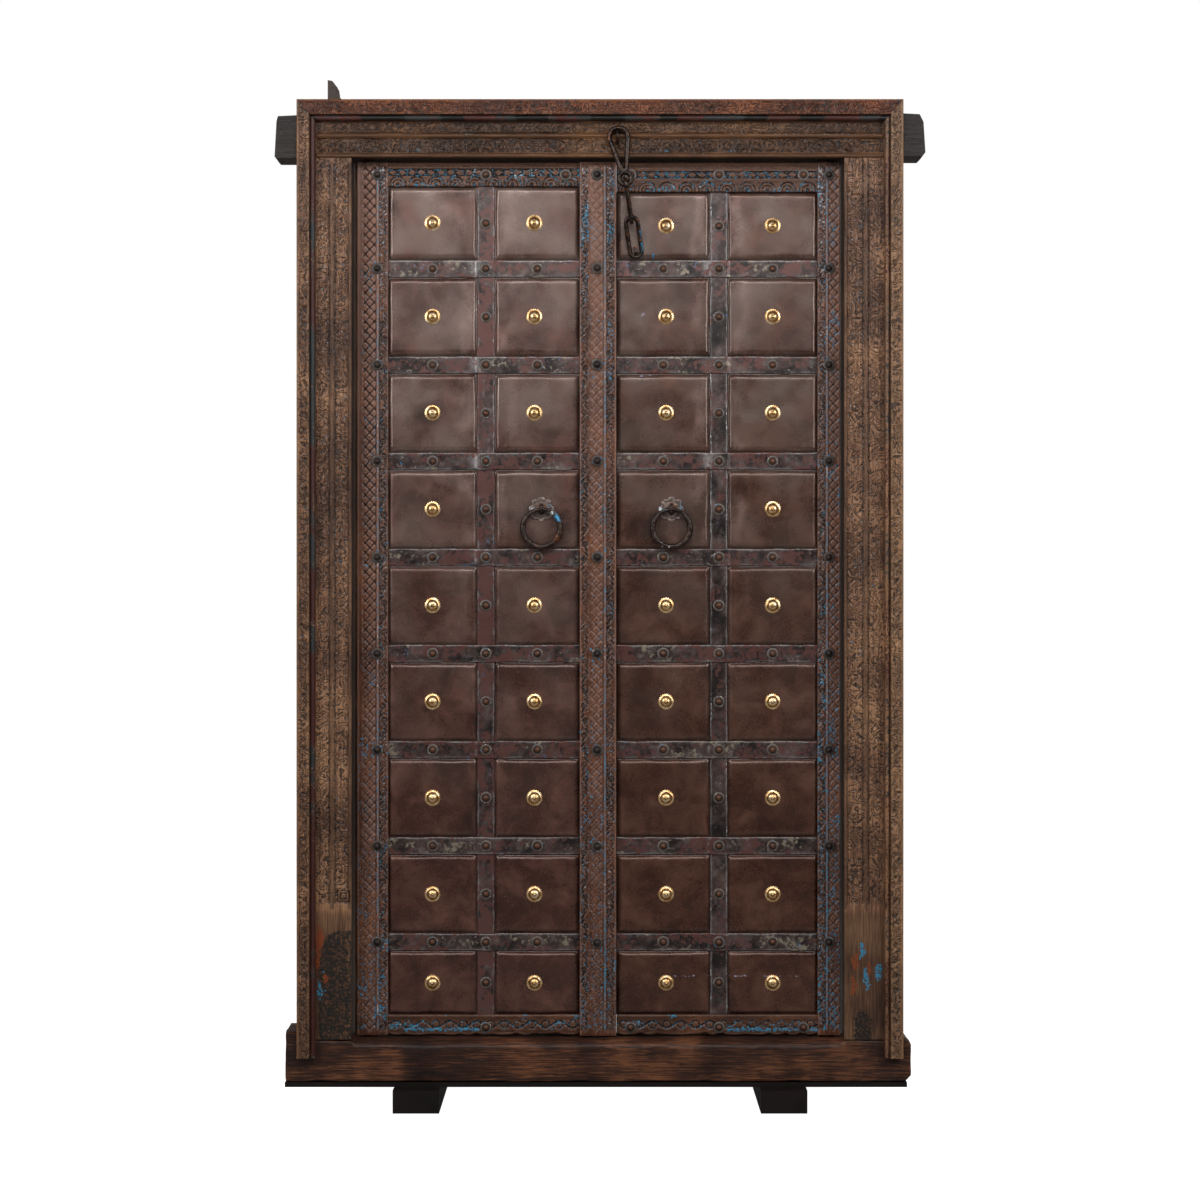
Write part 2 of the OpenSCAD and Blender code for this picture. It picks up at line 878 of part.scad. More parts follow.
// Half of a beaten panel's section: a rounded shoulder rising to a flat
function panel_profile(a, b, rise, in) = [
    [a + in, 0], [a + in + shoulder * 0.2, rise * 0.6],
    [a + in + shoulder * 0.5, rise * 0.9], [a + in + shoulder, rise],
    [b - in - shoulder, rise], [b - in - shoulder * 0.5, rise * 0.9],
    [b - in - shoulder * 0.2, rise * 0.6], [b - in, 0]
];

// One raised panel: two shouldered sections crossed; its foot lies at a depth behind the jambs' face
module panel(x0, x1, z0, z1, d, rise, in) {
    foot = 0.5;
    intersection() {
        translate([0, d - mid_d, z0 - 1])
            linear_extrude(z1 - z0 + 2)
                mirror([0, 1])
                    polygon(concat([[x0 + in, -foot]], panel_profile(x0, x1, rise, in), [[x1 - in, -foot]]));
        translate([x0 - 1, d - mid_d, 0])
            rotate([90, 0, 90])
                linear_extrude(x1 - x0 + 2)
                    rotate(90)
                        polygon(concat([[z0 + in, -foot]], panel_profile(z0, z1, rise, in), [[z1 - in, -foot]]));
    }
}

module panels(s, rows, d, rise, in) {
    for (r = rows, c = [0, 1])
        panel(col_x0(s, c) + panel_gap, col_x1(s, c) - panel_gap, row_z0(r) + panel_gap, row_z1(s, r) - panel_gap,
            d, rise, in);
}

// An iron sheet: a flat skin on the planks, beaten out into hollow panels
module sheet(s, rows, z0, z1) {
    color(iron)
        difference() {
            union() {
                block(field_x0[s], z0, field_x1[s], z1, sheet_d, plank_d);
                panels(s, rows, sheet_d, panel_rise, 0);
            }
            panels(s, rows, plank_d, panel_rise, sheet_t);
            pull_legs(s, eye_bar + leg_fit);
            if (s == 1)
                peg_shank(peg_shank_r + leg_fit);
        }
}

lap = 0.3;
lower_rows = [1 : sheet_joint];
upper_rows = [sheet_joint + 1 : row_n];

module left_lower_sheet() {
    sheet(0, lower_rows, field_z0, strap_z(sheet_joint) - lap);
}

module left_upper_sheet() {
    sheet(0, upper_rows, strap_z(sheet_joint) + lap, field_z1[0]);
}

module right_lower_sheet() {
    sheet(1, lower_rows, field_z0, strap_z(sheet_joint) - lap);
}

module right_upper_sheet() {
    sheet(1, upper_rows, strap_z(sheet_joint) + lap, field_z1[1]);
}

module upright_strap(s) {
    color(strap_iron)
        block(upright_x[s] - strap_w / 2, field_z0, upright_x[s] + strap_w / 2, field_z1[s], strap_d, sheet_d);
}

module left_upright_strap() {
    upright_strap(0);
}

module right_upright_strap() {
    upright_strap(1);
}

// A level strap, set over the upright one by a joggle
module level_strap(s, k) {
    ramp = 6;
    x0 = field_x0[s];
    x1 = field_x1[s];
    u0 = upright_x[s] - strap_w / 2;
    u1 = upright_x[s] + strap_w / 2;
    color(strap_iron)
        translate([0, -mid_d, strap_z(k) - strap_w / 2])
            linear_extrude(strap_w)
                polygon([
                    [x0, sheet_d], [u0 - ramp, sheet_d], [u0, strap_d],
                    [u1, strap_d], [u1 + ramp, sheet_d], [x1, sheet_d],
                    [x1, strap_d], [u1 + ramp, strap_d], [u1, strap_d - strap_t],
                    [u0, strap_d - strap_t], [u0 - ramp, strap_d], [x0, strap_d]
                ]);
}

// A nail: round washer and domed head, its seat at a depth behind the jambs' face
module nail(x, d, z) {
    translate([x, d - mid_d, z])
        rotate([90, 0, 0])
            rotate_extrude($fn = 24)
                polygon([[0, 0], [washer_r, 0], [washer_r - 0.5, 1.6], [washer_r * 0.58, 2],
                    [washer_r * 0.5, nail_h * 0.7], [washer_r * 0.24, nail_h], [0, nail_h]]);
}

// Nails of one leaf: on the straps, where they cross, up the middle, on the stiles and along the rails
module nails(s) {
    rail_in = 30;
    top_z = leaf_top - 26;
    low_z = leaf_z + 16;
    color(strap_iron)
        union() {
            for (k = [1 : strap_n]) {
                for (c = [0, 1])
                    nail(col_mid(s, c), strap_d, strap_z(k));
                nail(upright_x[s], strap_d - strap_t, strap_z(k));
                nail(stile_nail_x[s], recess, strap_z(k));
                if (s == 0)
                    nail(post_nail_x, recess - post_proud, strap_z(k));
            }
            for (r = [1 : row_n])
                nail(upright_x[s], strap_d, row_mid(s, r));
            nail(stile_nail_x[s], recess, top_z);
            nail(upright_x[s], recess, top_z);
            nail(field_x1[s] - rail_in, recess, top_z);
            nail(upright_x[s], recess, low_z);
            if (s == 0)
                nail(post_nail_x, recess - post_proud, top_z);
            if (s == 1) {
                nail(field_x0[s] + rail_in, recess, top_z);
                nail(field_x0[s] + rail_in, recess, low_z);
                nail(field_x1[s] - rail_in, recess, low_z);
            }
        }
}

module left_nails() {
    nails(0);
}

module right_nails() {
    nails(1);
}

// A brass boss: scalloped flange and a dome drawn up to a tip
module boss(x, z) {
    scallops = 22;
    flange_t = 1.5;
    translate([x, panel_d - mid_d, z])
        rotate([90, 0, 0])
            union() {
                linear_extrude(flange_t)
                    polygon([for (i = [0 : 2 * scallops - 1])
                        let (r = boss_r * (i % 2 == 0 ? 0.9 : 1), a = 180 * i / scallops)
                        [r * cos(a), r * sin(a)]]);
                rotate_extrude($fn = 32)
                    polygon([[0, 0.5], [boss_r * 0.66, 0.5], [boss_r * 0.62, boss_h * 0.35],
                        [boss_r * 0.45, boss_h * 0.66], [boss_r * 0.22, boss_h * 0.82],
                        [boss_r * 0.1, boss_h], [0, boss_h]]);
            }
}

module bosses(s) {
    color(brass)
        for (r = [1 : row_n], c = [0, 1])
            if (r != pull_row || c != pull_col[s])
                boss(col_mid(s, c) + (c == pull_col[s] ? (2 * s - 1) * boss_shift : 0), row_mid(s, r));
}

module left_bosses() {
    bosses(0);
}

module right_bosses() {
    bosses(1);
}

// Ring pulls

// The two legs of a ring's staple, also used as its holes
module pull_legs(s, r) {
    for (z = [-eye_r, eye_r])
        peg_bar(r, pull_x[s], pull_z[s] + z, eye_d, plank_d + leg_depth);
}

// A rosette of eight petals
module ring_plate(s) {
    color(iron)
        difference() {
            slab(plate_d, panel_d)
                translate([pull_x[s], pull_z[s]])
                    union() {
                        circle(rosette_r * 0.72);
                        for (a = [0 : 45 : 315])
                            rotate(a)
                                translate([rosette_r * 0.7, 0])
                                    circle(rosette_r * 0.3);
                    }
            pull_legs(s, eye_bar + leg_fit);
        }
}

module left_ring_plate() {
    ring_plate(0);
}

module right_ring_plate() {
    ring_plate(1);
}

// A staple: half a ring that stands out from the plate, on two legs
module ring_staple(s) {
    color(strap_iron)
        union() {
            pull_legs(s, eye_bar);
            translate([pull_x[s], eye_d - mid_d, pull_z[s]])
                rotate([0, 90, 0])
                    rotate([0, 0, 180])
                        rotate_extrude(angle = 180)
                            translate([eye_r, 0])
                                circle(eye_bar);
        }
}

module left_ring_staple() {
    ring_staple(0);
}

module right_ring_staple() {
    ring_staple(1);
}

module ring(s) {
    color(strap_iron)
        translate([pull_x[s], eye_d - mid_d, ring_axis_z[s] - ring_r])
            rotate([90, 0, 0])
                rotate_extrude()
                    translate([ring_r, 0])
                        circle(ring_bar);
}

module left_ring() {
    ring(0);
}

module right_ring() {
    ring(1);
}

// Chain latch

// Legs of the lintel's staple, also used as its holes
module staple_legs(r) {
    for (z = [-staple_r, staple_r])
        peg_bar(r, chain_x, staple_z + z, -staple_reach, 25);
}

module lintel_staple() {
    color(strap_iron)
        union() {
            staple_legs(staple_bar);
            translate([chain_x, -staple_reach - mid_d, staple_z])
                rotate([0, 90, 0])
                    rotate([0, 0, 180])
                        rotate_extrude(angle = 180)
                            translate([staple_r, 0])
                                circle(staple_bar);
        }
}

// Puts what hangs from the chain's top bar in its place, leaning
module on_chain() {
    translate([chain_x, -chain_stand - mid_d, chain_z])
        rotate([0, -chain_lean, 0])
            children();
}

// Puts what hangs from the hasp's eye in its place, tilted back as well
module on_eye() {
    on_chain()
        translate([0, 0, middle_pivot_z])
            rotate([chain_tilt, 0, 0])
                children();
}

// A long link in X and Z, hanging from the middle of its top bar
module long_link(r, bar, side) {
    for (x = [-r, r])
        translate([x, 0, -r - side])
            cylinder(r = bar, h = side);
    translate([0, 0, -r])
        rotate([90, 0, 0])
            rotate_extrude(angle = 180)
                translate([r, 0])
                    circle(bar);
    translate([0, 0, -r - side])
        rotate([90, 0, 0])
            rotate([0, 0, 180])
                rotate_extrude(angle = 180)
                    translate([r, 0])
                        circle(bar);
}

// The hasp's loop: a round top whose two legs close in to a neck
neck_x = hasp_bar * 0.8;
neck_drop = hasp_l + hasp_neck - hasp_bar - hasp_r;
neck_reach = norm([neck_x, neck_drop]);
leg_lean = asin(hasp_r / neck_reach) - atan(neck_x / neck_drop);
leg_l = sqrt(neck_reach * neck_reach - hasp_r * hasp_r);

module hasp_loop() {
    translate([0, 0, -hasp_r]) {
        rotate([90, 0, 0])
            rotate([0, 0, -leg_lean])
                rotate_extrude(angle = 180 + 2 * leg_lean)
                    translate([hasp_r, 0])
                        circle(hasp_bar);
        for (side = [0, 1])
            mirror([side, 0, 0])
                translate([hasp_r * cos(leg_lean), 0, -hasp_r * sin(leg_lean)])
                    rotate([0, 180 + leg_lean, 0]) {
                        sphere(hasp_bar + weld_swell);
                        translate([0, 0, weld_swell])
                            cylinder(r = hasp_bar, h = leg_l - weld_swell);
                    }
    }
}

module hasp_link() {
    color(strap_iron)
        on_chain()
            union() {
                hasp_loop();
                translate([0, 0, -hasp_l - hasp_neck])
                    cylinder(r = hasp_bar + collar_t, h = 2 * hasp_bar);
                translate([0, 0, hasp_eye_z])
                    rotate([90, 0, 0])
                        rotate_extrude()
                            translate([hasp_eye_r, 0])
                                circle(hasp_bar);
            }
}

module middle_link() {
    color(strap_iron)
        on_eye()
            translate([0, 0, middle_top_z])
                rotate([0, 0, 90])
                    union() {
                        long_link(link_r, link_bar, middle_link_l - 2 * link_r);
                    }
}

module end_link() {
    color(strap_iron)
        on_eye()
            translate([0, 0, end_top_z])
                union() {
                    long_link(link_r, link_bar, end_link_l - 2 * link_r);
                }
}

// The peg that stands in the end link: a flat bar on a round shank
peg_shank_r = 3;
peg_at = [
    chain_x + sin(chain_lean) * (-middle_pivot_z - peg_z * cos(chain_tilt)),
    chain_z + cos(chain_lean) * (middle_pivot_z + peg_z * cos(chain_tilt))
];
peg_d = -chain_stand - peg_z * sin(chain_tilt);

module peg_shank(r) {
    peg_bar(r, peg_at[0], peg_at[1], panel_d - 1, plank_d + leg_depth);
}

module chain_peg() {
    nose_d = peg_d - peg_reach;
    color(strap_iron)
        union() {
            translate([peg_at[0], (nose_d + panel_d) / 2 - mid_d, peg_at[1]])
                rotate([0, -chain_lean, 0])
                    cube([peg_w, panel_d - nose_d, peg_h], center = true);
            peg_shank(peg_shank_r);
        }
}

lintel();
left_jamb();
right_jamb();
sill();
top_moulding();
left_moulding();
right_moulding();
base_bar();
left_foot();
right_foot();
lintel_staple();
left_hinge_stile();
meeting_post();
left_top_rail();
left_bottom_rail();
left_planks();
left_battens();
left_lower_sheet();
left_upper_sheet();
left_upright_strap();
level_strap(0, 1);  // left_strap_1
level_strap(0, 2);  // left_strap_2
level_strap(0, 3);  // left_strap_3
level_strap(0, 4);  // left_strap_4
level_strap(0, 5);  // left_strap_5
level_strap(0, 6);  // left_strap_6
level_strap(0, 7);  // left_strap_7
level_strap(0, 8);  // left_strap_8
left_nails();
left_bosses();
left_ring_plate();
left_ring_staple();
left_ring();
right_hinge_stile();
right_meeting_stile();
right_top_rail();
right_bottom_rail();
right_planks();
right_battens();
right_lower_sheet();
right_upper_sheet();
right_upright_strap();
level_strap(1, 1);  // right_strap_1
level_strap(1, 2);  // right_strap_2
level_strap(1, 3);  // right_strap_3
level_strap(1, 4);  // right_strap_4
level_strap(1, 5);  // right_strap_5
level_strap(1, 6);  // right_strap_6
level_strap(1, 7);  // right_strap_7
level_strap(1, 8);  // right_strap_8
right_nails();
right_bosses();
right_ring_plate();
right_ring_staple();
right_ring();
chain_peg();
hasp_link();
middle_link();
end_link();
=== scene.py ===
import math

import bmesh
import bpy
import numpy as np
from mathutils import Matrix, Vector


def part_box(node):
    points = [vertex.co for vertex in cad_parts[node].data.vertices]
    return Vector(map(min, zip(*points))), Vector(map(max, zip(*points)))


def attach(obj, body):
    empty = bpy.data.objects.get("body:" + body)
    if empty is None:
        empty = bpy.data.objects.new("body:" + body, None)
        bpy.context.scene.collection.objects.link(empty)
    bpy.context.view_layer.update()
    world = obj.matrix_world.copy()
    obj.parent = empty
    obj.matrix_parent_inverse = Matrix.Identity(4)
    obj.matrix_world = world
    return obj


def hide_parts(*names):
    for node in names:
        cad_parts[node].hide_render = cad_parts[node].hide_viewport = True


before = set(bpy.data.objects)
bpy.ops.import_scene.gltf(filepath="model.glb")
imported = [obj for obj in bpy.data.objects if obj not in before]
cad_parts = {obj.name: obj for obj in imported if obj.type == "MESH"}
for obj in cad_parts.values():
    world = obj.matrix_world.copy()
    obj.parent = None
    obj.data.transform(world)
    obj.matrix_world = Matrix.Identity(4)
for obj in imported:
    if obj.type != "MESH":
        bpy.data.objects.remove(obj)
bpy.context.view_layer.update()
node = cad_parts


# The view: the door stands on a white studio floor and is seen square from the front. Tall soft boxes rake
# the carving from both sides, two wide ones give the iron its sheen, and two more light the back.
view_width = 2.52
view_distance = 5.5
view_height = 1.071
sensor = 36.0
room_light = 0.1
light_aim = Vector((0, 0, 1.45))
tall_box = (0.6, 1.6)
floor_corners = ((-9, -8, 0), (9, -8, 0), (9, 9, 0), (-9, 9, 0))
# Every depth in this file is measured back from this plane, the front of the sill, jambs and lintel.
face_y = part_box("sill")[0].y


def linear(hex_colour):
    """An sRGB hex colour as linear red, green, blue and a full alpha."""
    parts = [int(hex_colour[i:i + 2], 16) / 255 for i in (1, 3, 5)]
    return [c / 12.92 if c <= 0.04045 else ((c + 0.055) / 1.055) ** 2.4 for c in parts] + [1.0]


def plug(tree, made, inputs):
    """Gives a node's sockets what they take: a value or another socket."""
    for key, value in inputs.items():
        if isinstance(value, bpy.types.NodeSocket):
            tree.links.new(value, made.inputs[key])
        else:
            made.inputs[key].default_value = value


def add(tree, kind, inputs=None, **settings):
    """Adds one node to a tree, with its settings and what its sockets take."""
    made = tree.nodes.new(kind)
    for key, value in settings.items():
        setattr(made, key, value)
    plug(tree, made, inputs or {})
    return made


def put(name, data):
    """A new object in the scene from its data."""
    made = bpy.data.objects.new(name, data)
    bpy.context.scene.collection.objects.link(made)
    return made


camera_data = bpy.data.cameras.new("camera")
camera_data.sensor_width = sensor
camera_data.lens = sensor * view_distance / view_width
camera = put("camera", camera_data)
camera.location = (0, face_y - view_distance, view_height)
camera.rotation_euler = (math.radians(90), 0, 0)
bpy.context.scene.camera = camera
bpy.context.scene.view_settings.view_transform = "Standard"

world = bpy.data.worlds.new("studio")
world.use_nodes = True
seen = add(world.node_tree, "ShaderNodeLightPath").outputs["Is Camera Ray"]
strength = add(world.node_tree, "ShaderNodeMapRange", {"Value": seen, "To Min": room_light, "To Max": 1.0})
plug(world.node_tree, world.node_tree.nodes["Background"],
     {"Color": linear("#ffffff"), "Strength": strength.outputs["Result"]})
bpy.context.scene.world = world

floor_mesh = bpy.data.meshes.new("floor")
floor_mesh.from_pydata(floor_corners, [], [(0, 1, 2, 3)])
floor_paint = bpy.data.materials.new("white floor paint")
floor_paint.use_nodes = True
floor_seen = add(floor_paint.node_tree, "ShaderNodeLightPath").outputs["Is Camera Ray"]
plug(floor_paint.node_tree, floor_paint.node_tree.nodes["Principled BSDF"],
     {"Base Color": linear("#a3a2a0"), "Roughness": 0.9, "Specular IOR Level": 0.0,
      "Emission Color": linear("#ffffff"), "Emission Strength": floor_seen})
floor_mesh.materials.append(floor_paint)
floor = put("floor", floor_mesh)

for light_name, place, size, watts in (
    ("left box", (-2.3, -2.2, 2.3), tall_box, 42),
    ("right box", (2.3, -2.2, 2.3), tall_box, 42),
    ("top box", (0, -3.0, 3.2), (2.4, 0.7), 52),
    ("front box", (0, -3.2, 2.2), (2.6, 0.5), 8),
    ("left back box", (-2.6, 2.4, 2.4), tall_box, 45),
    ("right back box", (2.6, 2.4, 2.4), tall_box, 45),
):
    light_data = bpy.data.lights.new(light_name, "AREA")
    light_data.shape = "RECTANGLE"
    light_data.size, light_data.size_y = size
    light_data.energy = watts
    light = put(light_name, light_data)
    light.location = place
    light.rotation_euler = (light_aim - Vector(place)).to_track_quat("-Z", "Y").to_euler()


# The base: a flat steel bar under the sill and two feet folded from plate, sprayed satin black.
# It was made to stand the old door up for show, so its edges are clean and only dusty.
def finish_tree(name):
    """A new material with its node tree, its shader and the object's own coordinates."""
    made = bpy.data.materials.new(name)
    made.use_nodes = True
    tree = made.node_tree
    return made, tree, tree.nodes["Principled BSDF"], add(tree, "ShaderNodeTexCoord").outputs["Object"]


def tones_of(tree, value, stops):
    """A colour ramp over a value, from pairs of place and hex colour."""
    ramp_node = add(tree, "ShaderNodeValToRGB", {"Fac": value})
    elements = ramp_node.color_ramp.elements
    elements[0].position, elements[0].color = stops[0][0], linear(stops[0][1])
    elements[1].position, elements[1].color = stops[-1][0], linear(stops[-1][1])
    for place, colour in stops[1:-1]:
        elements.new(place).color = linear(colour)
    return ramp_node.outputs["Color"]


def black_steel():
    """Powder-sprayed mild steel: satin black with an orange peel of 2.4 mm and clouds of dust of 70 mm."""
    made, tree, shader, place = finish_tree("black sprayed steel")
    dust = add(tree, "ShaderNodeTexNoise", {"Vector": place, "Scale": 14.0, "Detail": 6.0}).outputs["Fac"]
    peel = add(tree, "ShaderNodeTexNoise", {"Vector": place, "Scale": 420.0, "Detail": 2.0}).outputs["Fac"]
    bump = add(tree, "ShaderNodeBump", {"Height": peel, "Strength": 0.12, "Distance": 0.0005})
    plug(tree, shader, {"Base Color": tones_of(tree, dust, ((0.35, "#0a0504"), (0.75, "#170e0b"))),
                        "Normal": bump.outputs["Normal"], "Roughness": 0.55, "Specular IOR Level": 0.25})
    return made


def dress(source, finish):
    """Gives a CAD piece that stays as it is its finish."""
    node[source].data.materials.clear()
    node[source].data.materials.append(finish)


base_finish = black_steel()
for source in ("base_bar", "left_foot", "right_foot"):
    dress(source, base_finish)


# The sill: one heavy beam of old hardwood that carries the jambs and the leaves' lower pintles.
# Its ends stand up past the jambs, feet have worn its edges round and its grain stands open.
mm = 0.001
sill_voxel = 0.006
streak_mm = 3.0
streak_run = 22


def noise(x, y, seed):
    """Smooth value noise from -1 to 1 on a grid of one unit."""
    xi, yi = np.floor(x), np.floor(y)
    fx, fy = x - xi, y - yi
    fx, fy = fx * fx * (3 - 2 * fx), fy * fy * (3 - 2 * fy)

    def corner(i, j):
        raw = np.sin((xi + i) * 127.1 + (yi + j) * 311.7 + seed * 74.7) * 43758.5453
        return raw - np.floor(raw)

    low = corner(0, 0) * (1 - fx) + corner(1, 0) * fx
    high = corner(0, 1) * (1 - fx) + corner(1, 1) * fx
    return (low * (1 - fy) + high * fy) * 2 - 1


def rough(x, y, seed, octaves=4):
    """Layers of noise, each half as large and twice as fine."""
    total = 0
    for k in range(octaves):
        total = total + noise(x * 2 ** k, y * 2 ** k, seed + k * 17.3) / 2 ** k
    return total / 1.8


def set_marks(mesh, marks):
    """Named values on the points of a mesh, for the finish to read."""
    for mark, values in marks.items():
        held = mesh.attributes.new(mark, "FLOAT", "POINT")
        held.data.foreach_set("value", np.asarray(values, np.float32))


def layer(tree, under, over, amount):
    """One colour laid over another."""
    return add(tree, "ShaderNodeMix", {0: amount, 6: under, 7: over}, data_type="RGBA").outputs[2]


def marked(tree, key, share):
    """A point mark, times a share and kept between 0 and 1."""
    amount = add(tree, "ShaderNodeAttribute", attribute_name=key).outputs["Fac"]
    return add(tree, "ShaderNodeMath", {0: amount, 1: share}, operation="MULTIPLY", use_clamp=True).outputs[0]


def coats(tree, place, colour, paint, flake_scale):
    """Lays what is left of each paint over a colour, where its mark and the flaking let it stay."""
    flakes = add(tree, "ShaderNodeTexNoise", {"Vector": place, "Scale": flake_scale, "Detail": 5.0,
                                              "Roughness": 0.62}).outputs["Color"]
    flake = add(tree, "ShaderNodeSeparateColor", {"Color": flakes}).outputs
    for turn, (key, over) in enumerate(paint.items()):
        amount = add(tree, "ShaderNodeAttribute", attribute_name=key).outputs["Fac"]
        lift = add(tree, "ShaderNodeMath", {0: amount, 1: flake[turn % 3]}, operation="ADD").outputs[0]
        edge = add(tree, "ShaderNodeMapRange", {"Value": lift, "From Min": 0.98, "From Max": 1.06})
        colour = layer(tree, colour, linear(over), edge.outputs["Result"])
    return colour


def old_wood(name, along, tones, grime_and_shade, paint, wear_and_sheen_tone="#8f6d50", roughness=0.43):
    """Old oiled hardwood: streaked along its grain, dark in the cuts with grime and on its hidden sides with
    painted shade, pale where rubbed and where a highlight is painted, with paint left.

    Its blotches are about 110 mm across, its specks 4 mm, its engraved strokes 2 mm and its flakes 5 mm.
    """
    made, tree, shader, place = finish_tree(name)
    fine, coarse = 1000 / streak_mm, 1000 / streak_mm / streak_run
    stretch = [coarse if axis == along else fine for axis in "XYZ"]
    run = add(tree, "ShaderNodeMapping", {"Vector": place, "Scale": stretch}).outputs["Vector"]
    streak = add(tree, "ShaderNodeTexNoise", {"Vector": run, "Scale": 1.0, "Detail": 7.0, "Roughness": 0.65,
                                              "Distortion": 0.6}).outputs["Fac"]
    blotch = add(tree, "ShaderNodeTexNoise", {"Vector": place, "Scale": 9.0, "Detail": 5.0}).outputs["Fac"]
    speck = add(tree, "ShaderNodeTexNoise", {"Vector": place, "Scale": 260.0, "Detail": 4.0,
                                             "Roughness": 0.7}).outputs["Fac"]
    blend = add(tree, "ShaderNodeMix", {0: 0.45, 2: streak, 3: blotch}).outputs[0]
    colour = tones_of(tree, blend, ((0.37, tones[0]), (0.5, tones[1]), (0.63, tones[2])))
    wear_and_sheen_share = add(tree, "ShaderNodeMath", {0: marked(tree, "worn", 1.0), 1: speck}, operation="MULTIPLY")
    colour = layer(tree, colour, linear(wear_and_sheen_tone), wear_and_sheen_share.outputs[0])
    swirl = add(tree, "ShaderNodeTexNoise", {"Vector": place, "Scale": 46.0, "Detail": 1.0,
                                             "Distortion": 0.9}).outputs["Fac"]
    turns = add(tree, "ShaderNodeMath", {0: swirl, 1: 15.0}, operation="MULTIPLY").outputs[0]
    wave = add(tree, "ShaderNodeMath", {0: turns, 1: 1.0}, operation="PINGPONG").outputs[0]
    stroke = add(tree, "ShaderNodeMapRange", {"Value": wave, "From Min": 0.15, "From Max": 0.5,
                                              "To Min": 1.0, "To Max": 0.0}).outputs["Result"]
    busy = marked(tree, "busy", 0.8)
    engraved = add(tree, "ShaderNodeMath", {0: busy, 1: stroke}, operation="MULTIPLY").outputs[0]
    drawn = add(tree, "ShaderNodeMapRange", {"Value": marked(tree, "line", 1.0), "From Min": 0.8,
                                             "From Max": 0.93}).outputs["Result"]
    nicks = add(tree, "ShaderNodeMath", {0: engraved, 1: drawn}, operation="MAXIMUM").outputs[0]
    colour = layer(tree, colour, linear(grime_and_shade), nicks)
    sunk = add(tree, "ShaderNodeMapRange", {"Value": marked(tree, "hollow", 1.0), "From Min": 0.2,
                                            "From Max": 0.8, "To Max": 0.9}).outputs["Result"]
    colour = layer(tree, colour, linear(grime_and_shade), sunk)
    colour = coats(tree, place, colour, paint, 210.0)
    gloss = add(tree, "ShaderNodeMapRange", {"Value": streak, "From Min": 0.3, "From Max": 0.7,
                                             "To Min": roughness + 0.12, "To Max": roughness - 0.14})
    grain = add(tree, "ShaderNodeMix", {0: 0.35, 2: streak, 3: speck}).outputs[0]
    cut = add(tree, "ShaderNodeMath", {0: grain, 1: nicks}, operation="SUBTRACT").outputs[0]
    bump = add(tree, "ShaderNodeBump", {"Height": cut, "Strength": 0.75, "Distance": 0.0016})
    plug(tree, shader, {"Base Color": colour, "Roughness": gloss.outputs["Result"],
                        "Normal": bump.outputs["Normal"], "Specular IOR Level": 0.28})
    return made


def points_of(mesh, field="co"):
    """The points of a mesh, or another value of theirs, as rows of three."""
    values = np.empty(len(mesh.vertices) * 3)
    mesh.vertices.foreach_get(field, values)
    return values.reshape(-1, 3)


def welded(mesh, gap):
    """The loose triangles of a mesh, joined where they meet."""
    shape = bmesh.new()
    shape.from_mesh(mesh)
    bmesh.ops.remove_doubles(shape, verts=shape.verts, dist=gap)
    return shape


def settle(piece):
    """Turns what a piece's modifiers make into its own plain mesh."""
    bpy.context.view_layer.update()
    finished = piece.evaluated_get(bpy.context.evaluated_depsgraph_get())
    piece.data = bpy.data.meshes.new_from_object(finished)
    piece.modifiers.clear()


def weathered(name, source, finish, voxel, dent, lump_mm, seed):
    """A closed copy of a piece with its edges worn round and its faces dented, in a fine even mesh."""
    mesh = node[source].data.copy()
    mesh.materials.clear()
    mesh.materials.append(finish)
    shape = welded(mesh, 1e-5)
    shape.to_mesh(mesh)
    shape.free()
    made = put(name, mesh)
    skin = made.modifiers.new("skin", "REMESH")
    skin.mode, skin.voxel_size, skin.use_smooth_shade = "VOXEL", voxel, True
    ease = made.modifiers.new("ease", "SMOOTH")
    ease.factor, ease.iterations = 0.5, 2
    settle(made)
    points, normals = points_of(made.data), points_of(made.data, "normal")
    across = (points[:, 2] * 1.7 + points[:, 1] * 1.3) / (lump_mm * mm)
    lump = rough(points[:, 0] / (lump_mm * mm), across, seed)
    points = points + normals * (dent * mm * (np.minimum(lump, 0.3) - 0.3))[:, None]
    made.data.vertices.foreach_set("co", points.ravel())
    made.data.update()
    return made


def tie(piece, body, slot_name, *sources):
    """Ties a piece to its body and hides the CAD pieces that it stands for; its slot name is not used."""
    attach(piece, body)
    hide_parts(*sources)


sill_wood = old_wood("old sill hardwood", "X", ("#110805", "#351e15", "#764a30"), "#0c0806", {})
sill = weathered("worn_sill", "sill", sill_wood, sill_voxel, 2.2, 45, 3)
tie(sill, "frame", "dark_timber", "sill")


# The jambs: two posts with a plain foot block, carved above it in two shallow bands, leaning leaves outside
# and flowers inside, with a round ridge between them and a plain lip. Oil and dirt have darkened the cuts,
# and the foot blocks are sooty, with flakes of blue paint.
jamb_step = 2.4
jamb_width = {"left": 113.0, "right": 122.0}
moulding_w = 38.5
jamb_lip = 6.0
jamb_ridge_half = 6.0
lip_rise = 3.0
carve = 3.0
leaf_run = 24.0
flower_run = 64.0
plain_foot = 287.0
board_d = 6.0
frame_half = 635.0
paints = {"slate": "#1d1b18", "blue": "#2f7796", "red": "#6d281a", "pale": "#97a3a3", "rust": "#783a1c"}


